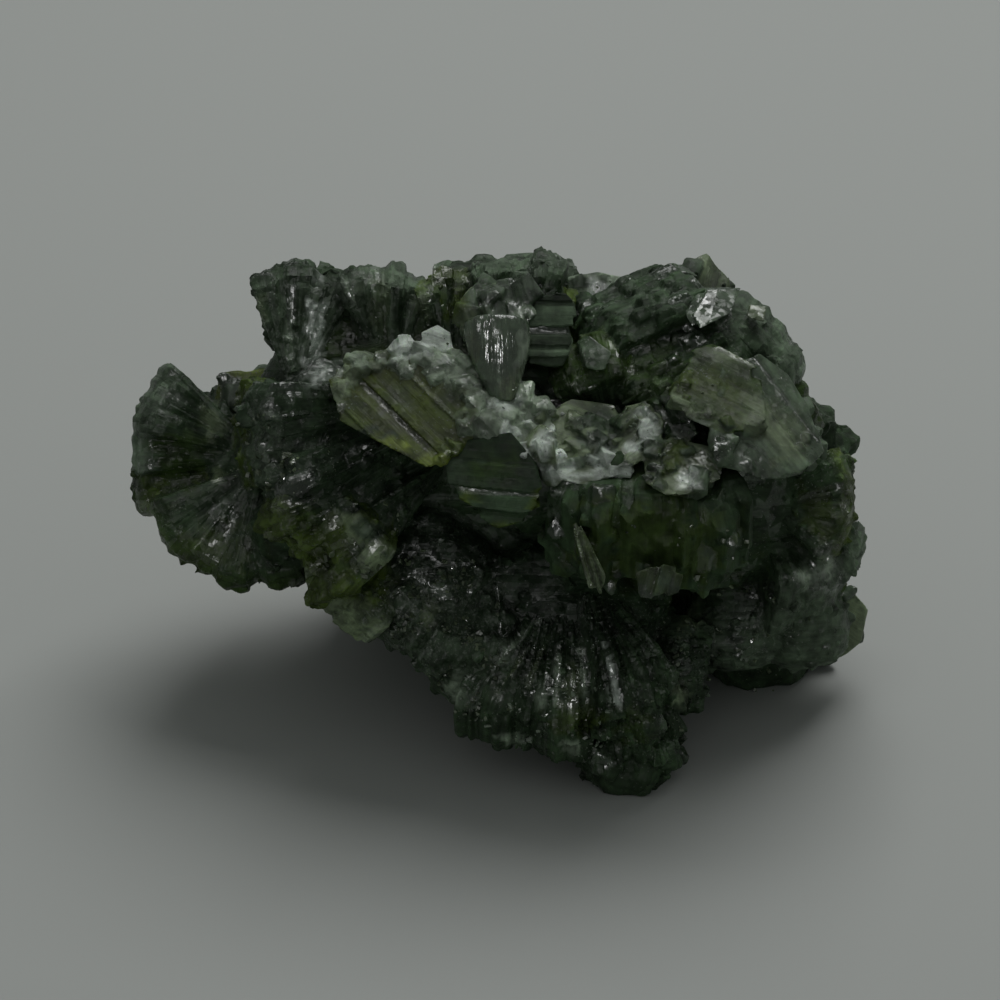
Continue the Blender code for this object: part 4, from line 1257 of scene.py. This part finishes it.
# The smooth clear crystal in the middle: a blunt cone that stands on its point.
conch = {
    "tip": (0.2, 37.0, 1.0),
    "top": (-0.3, 43.2, -1.2),
    "radius": 2.75,
    "flat": 0.8,
    "sides": 10,
    "rings": 4,
    "point": 0.34,
    "bulge": 0.24,
    "softEdge": 0.12,
    "bright": 1.35,
    "look": {"soften": 3, "keep": 1, "crease": 40, "ridge": 0.03, "lump": 0.04, "finish": "glassyPrehnite"},
    # The pale place down the right rim is the shell's paler rim, in part a painted highlight.
    "spots": (spot(-2.2, 40.8, 0.6, 2.4, "sage"), spot(1.7, 40.4, 0.7, 2.6, "pale"),
              spot(0.6, 38.0, 1.2, 1.2, "sage"), spot(-0.2, 40.6, 1.9, 1.9, gloss=0.1)),
}


def growConch():
    startClean()
    bpy.ops.mesh.primitive_cone_add(
        vertices=conch["sides"], radius1=conch["point"], radius2=1.0, depth=1.0, location=(0, 0, 0.5)
    )
    piece = bpy.context.active_object
    bpy.ops.object.transform_apply(location=True)
    editFresh(piece)
    pick(piece, "EDGE", lambda edge: abs(edge.verts[0].co.z - edge.verts[1].co.z) > 0.5)
    bpy.ops.mesh.subdivide(number_cuts=conch["rings"])
    for ring in range(1, conch["rings"] + 1):
        height = ring / (conch["rings"] + 1)
        pick(piece, "EDGE", lambda edge: all(abs(vert.co.z - height) < 0.01 for vert in edge.verts))
        wide = 1 + conch["bulge"] * math.sin(math.pi * height)
        bpy.ops.transform.resize(value=(wide, wide, 1), center_override=(0, 0, height))
    bpy.ops.object.mode_set(mode="OBJECT")
    soft = piece.modifiers.new("softEdge", "BEVEL")
    soft.width = conch["softEdge"]
    soft.segments = 3
    soft.limit_method = "ANGLE"
    soft.angle_limit = math.radians(20)
    points, faces = readForm(piece)
    tip, top = seen(*conch["tip"]), seen(*conch["top"])
    rise, across = (top - tip).normalized(), Vector((1, 0, 0))
    side = rise.cross(across).normalized()
    stand = Matrix((across, side, rise)).transposed()
    scale = np.array((conch["radius"], conch["radius"] * conch["flat"], (top - tip).length / mm)) * mm
    pile = Pile()
    body = tints["grey"] * conch["bright"]
    owner = pile.own(tip, Matrix((rise, across, side)), 1.0, body, body, True)
    pile.add((points * scale) @ np.array(stand).T + np.array(tip), faces, owner)
    return finishSkin("clearConch", pile, {**crystalLook, **conch["look"], "spots": conch["spots"]})


materials = {name: prehniteMaterial(name) for name in stoneLook}
print("materials made")

plateForms = {name: makePlateForm(name, crown) for name, crown in plateForm["crowns"].items()}
chipForm, knobForm = makeChipForm(), makeKnobForm()
print("forms:", {name: len(form[1]) for name, form in plateForms.items()}, len(chipForm[1]))

# Which fans and knobs grow together, and how their skin is finished.
regionPlan = {"lumps": (), "rubble": (), "voxel": 0.6}
regions = {
    "leftFans": {"fans": ("left_knob_top", "left_knob_mid", "left_fan_low"),
                 "lumps": ("heart_left", "neck"), "chips": 90, "size": (0.25, 0.8)},
    "ridgeFans": {"fans": ("back_left_fan", "ridge_a", "ridge_b", "ridge_c", "ridge_d"),
                  "lumps": ("ridge_base",), "chips": 130, "size": (0.25, 0.8)},
    "domeFans": {"fans": ("dome", "shoulder", "shoulder_low", "middle_dark"), "lumps": ("heart_right",),
                 "chips": 150, "size": (0.25, 0.8)},
    "rightFans": {"fans": ("right_fan", "right_block", "low_right_fan"),
                  "lumps": ("low_right_side", "low_right_crust"), "chips": 360, "size": (0.25, 0.9)},
    "broadFans": {"fans": ("broad_fan",), "chips": 60, "size": (0.6, 2.0)},
    "frontLeftFans": {"fans": ("left_fan_big", "left_fan_rear", "left_fan_under"),
                      "lumps": ("left_joint",), "chips": 380, "size": (0.25, 1.1)},
    "frontFans": {"fans": ("front_fan",), "lumps": ("toe_nodule", "toe_tip", "toe_side"), "chips": 90,
                  "size": (0.2, 0.6),
                  "rubble": (((10.0, 8.6, 4.8), 70, (0.9, 2.8), 0.6),
                             ((14.4, 17.4, 4.0), 30, (0.8, 2.2), 0.5))},
    "steepFace": {"fans": ("lower_left_fan",), "lumps": ("low_front", "low_left", "low_left_toe"),
                  "chips": 520, "size": (0.25, 1.0)},
    "budFans": {"fans": ("pale_bud", "pale_foot"), "chips": 120, "size": (0.2, 0.7)},
    "rearFans": {"fans": tuple(hiddenFans), "chips": 1300, "size": (0.5, 2.4)},
}
regionFinish = {"voxel": 0.19, "soften": 0, "keep": 0.42, "crease": 24, "ridge": 0.18, "ridgeSize": 0.9,
                "lump": 0.12, "grit": 0.05, "finish": "darkPrehnite", "spots": ()}
ownFinish = {
    "broadFans": {"ridge": 0.05, "soften": 1, "crease": 18, "keep": 0.3, "lump": 0.2, "grit": 0.0,
                  "finish": "waxyPrehnite"},
    "rearFans": {"voxel": 0.36, "ridge": 0.3, "ridgeSize": 0.8},
    "domeFans": {"voxel": 0.18, "keep": 0.35, "crease": 18, "ridge": 0.10, "lump": 0.05},
    "ridgeFans": {"ridge": 0.34, "ridgeSize": 0.8, "lump": 0.10},
    "frontFans": {"voxel": 0.17, "keep": 0.8, "ridge": 0.60, "ridgeSize": 0.7, "lump": 0.05, "grit": 0.04},
    "stoneMass": {"voxel": 0.48, "ridge": 0.0, "lump": 0.30, "grit": 0.16},
    "leftFans": {"soften": 2, "keep": 0.6, "crease": 34, "lump": 0.10, "grit": 0.04},
}
rubble = {"voxel": 0.5, "along": 0.2, "bright": (0.6, 1.5)}
feetRubble = {"count": 420, "size": (1.0, 3.6), "behind": 2 * mm, "below": 14 * mm,
              "look": {"voxel": 0.9, "along": 0.3, "bright": (0.6, 1.6), "tall": 0.8}}


def rearFeet(places):
    return (places[:, 1] > feetRubble["behind"]) & (places[:, 2] < feetRubble["below"])


tilted = Matrix((turned(1, 0, 0), turned(0, 1, 0), turned(0, 0, 1))).transposed()
heart = Pile()
for name, (middle, half, tint) in lumps.items():
    growKnob(name, seen(*middle), half, tilted, tint, heart, knobForm)
for name, (middle, half, tint) in hiddenLumps.items():
    growKnob(name, upright(*middle), half, Matrix.Identity(3), tint, heart, knobForm)

pieces = []
for region, own in regions.items():
    plan = {**regionPlan, **own}
    pile = Pile()
    for name in plan["fans"]:
        if name in fans:
            spec = fans[name]
            root, crown, hinge = seen(*spec[0]), seen(*spec[1]), turned(*spec[2])
        else:
            spec = hiddenFans[name]
            root, crown, hinge = upright(*spec[0]), upright(*spec[1]), Vector(spec[2]).normalized()
        growFan(name, spec, root, crown, hinge, pile, heart, plateForms)
        growCore(spec, root, crown, hinge, heart)
        growCore(spec, root, crown, hinge, pile)
    for name in plan["lumps"]:
        middle, half, tint = lumps[name]
        owner = len(pile.growths) - 1 if name == "toe_nodule" else None
        growKnob(name, seen(*middle), half, tilted, tint, pile, knobForm, owner)
    addChips(pile, plan["chips"], plan["size"], region, chipForm, plan["voxel"])
    for where, count, size, tall in plan["rubble"]:
        addChips(pile, count, size, region + "Rubble", chipForm, where=where, tall=tall, **rubble)
    pieces.append(finishSkin(region, pile, {**regionFinish, **ownFinish.get(region, {})}))

addChips(
    heart, feetRubble["count"], feetRubble["size"], "feet", chipForm, keep=rearFeet, **feetRubble["look"]
)
stone = finishSkin("stoneMass", heart, {**regionFinish, **ownFinish["stoneMass"]})
pieces.append(stone)
print("dark fans grown")

crystalPiles = {}
for name, spec in crystals.items():
    pile = crystalPiles.setdefault(spec["piece"], Pile())
    growCrystal(name, {**crystalPlan, **spec}, pile, chipForm)
for name, pile in crystalPiles.items():
    pieces.append(finishSkin(name, pile, {**crystalLook, **crystalFinish.get(name, {})}))
pieces.append(growConch())
print("pale crystals broken")
pieces.append(strewGrains("paleGrains", makeGrainForm()))

for piece in pieces:
    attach(piece, "root")
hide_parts(cadNode)
print("triangles in all:", sum(len(piece.data.loops) - 2 * len(piece.data.polygons) for piece in pieces))

# Floor, light and camera
floorPlan = {"size": 3.0, "tint": (0.47, 0.49, 0.47, 1), "rough": 0.75, "shine": 0.2}
startClean()
bpy.ops.mesh.primitive_plane_add(size=floorPlan["size"], location=(0, 0, 0))
floor = bpy.context.active_object
floor.name = "paleFloor"
floorPaint = bpy.data.materials.new("paleFloorPaint")
floorPaint.use_nodes = True
floorShader = floorPaint.node_tree.nodes["Principled BSDF"]
floorShader.inputs["Base Color"].default_value = floorPlan["tint"]
floorShader.inputs["Roughness"].default_value = floorPlan["rough"]
floorShader.inputs["Specular IOR Level"].default_value = floorPlan["shine"]
floor.data.materials.append(floorPaint)

studio = {
    "sky": (0.95, 0.99, 0.97),
    "skyStrength": 0.17,
    "aim": (0, 0, 0.018),
    "lights": {
        "ceilingLight": {"place": (0.10, 0.22, 0.50), "size": 0.42, "power": 1.45, "glintOnly": False},
        "windowGlint": {"place": (0.06, 0.20, 0.50), "size": 0.12, "power": 0.36, "glintOnly": True},
        "frontGlint": {"place": (-0.05, -0.30, 0.32), "size": 0.10, "power": 0.75, "glintOnly": True},
        "leftGlint": {"place": (-0.25, -0.06, 0.32), "size": 0.08, "power": 0.16, "glintOnly": True},
    },
}
world = bpy.data.worlds.new("softSky")
bpy.context.scene.world = world
world.use_nodes = True
world.node_tree.nodes["Background"].inputs["Color"].default_value = (*studio["sky"], 1)
world.node_tree.nodes["Background"].inputs["Strength"].default_value = studio["skyStrength"]


def addSoftLight(name, spec):
    data = bpy.data.lights.new(name, "AREA")
    data.shape = "SQUARE"
    data.size = spec["size"]
    data.energy = spec["power"]
    light = bpy.data.objects.new(name, data)
    bpy.context.scene.collection.objects.link(light)
    light.location = spec["place"]
    aim = Vector(studio["aim"]) - light.location
    light.rotation_mode = "QUATERNION"
    light.rotation_quaternion = aim.to_track_quat("-Z", "Y")
    light.visible_diffuse = not spec["glintOnly"]


for name, spec in studio["lights"].items():
    addSoftLight(name, spec)

towards = Vector((0, -math.cos(eye["down"]), math.sin(eye["down"])))
upwards = Vector((0, math.sin(eye["down"]), math.cos(eye["down"])))
cameraData = bpy.data.cameras.new("photoCamera")
camera = bpy.data.objects.new("photoCamera", cameraData)
bpy.context.scene.collection.objects.link(camera)
bpy.context.scene.camera = camera
camera.location = upwards * eye["level"] * mm + eye["shift"] + towards * eye["away"] * mm
camera.rotation_mode = "QUATERNION"
camera.rotation_quaternion = (-towards).to_track_quat("-Z", "Y")
cameraData.sensor_width = eye["film"]
cameraData.lens = eye["film"] * eye["away"] * eye["perMm"] / eye["picture"]
cameraData.clip_start = 0.01
bpy.context.scene.view_settings.view_transform = "Standard"
print("floor, light and camera ready")
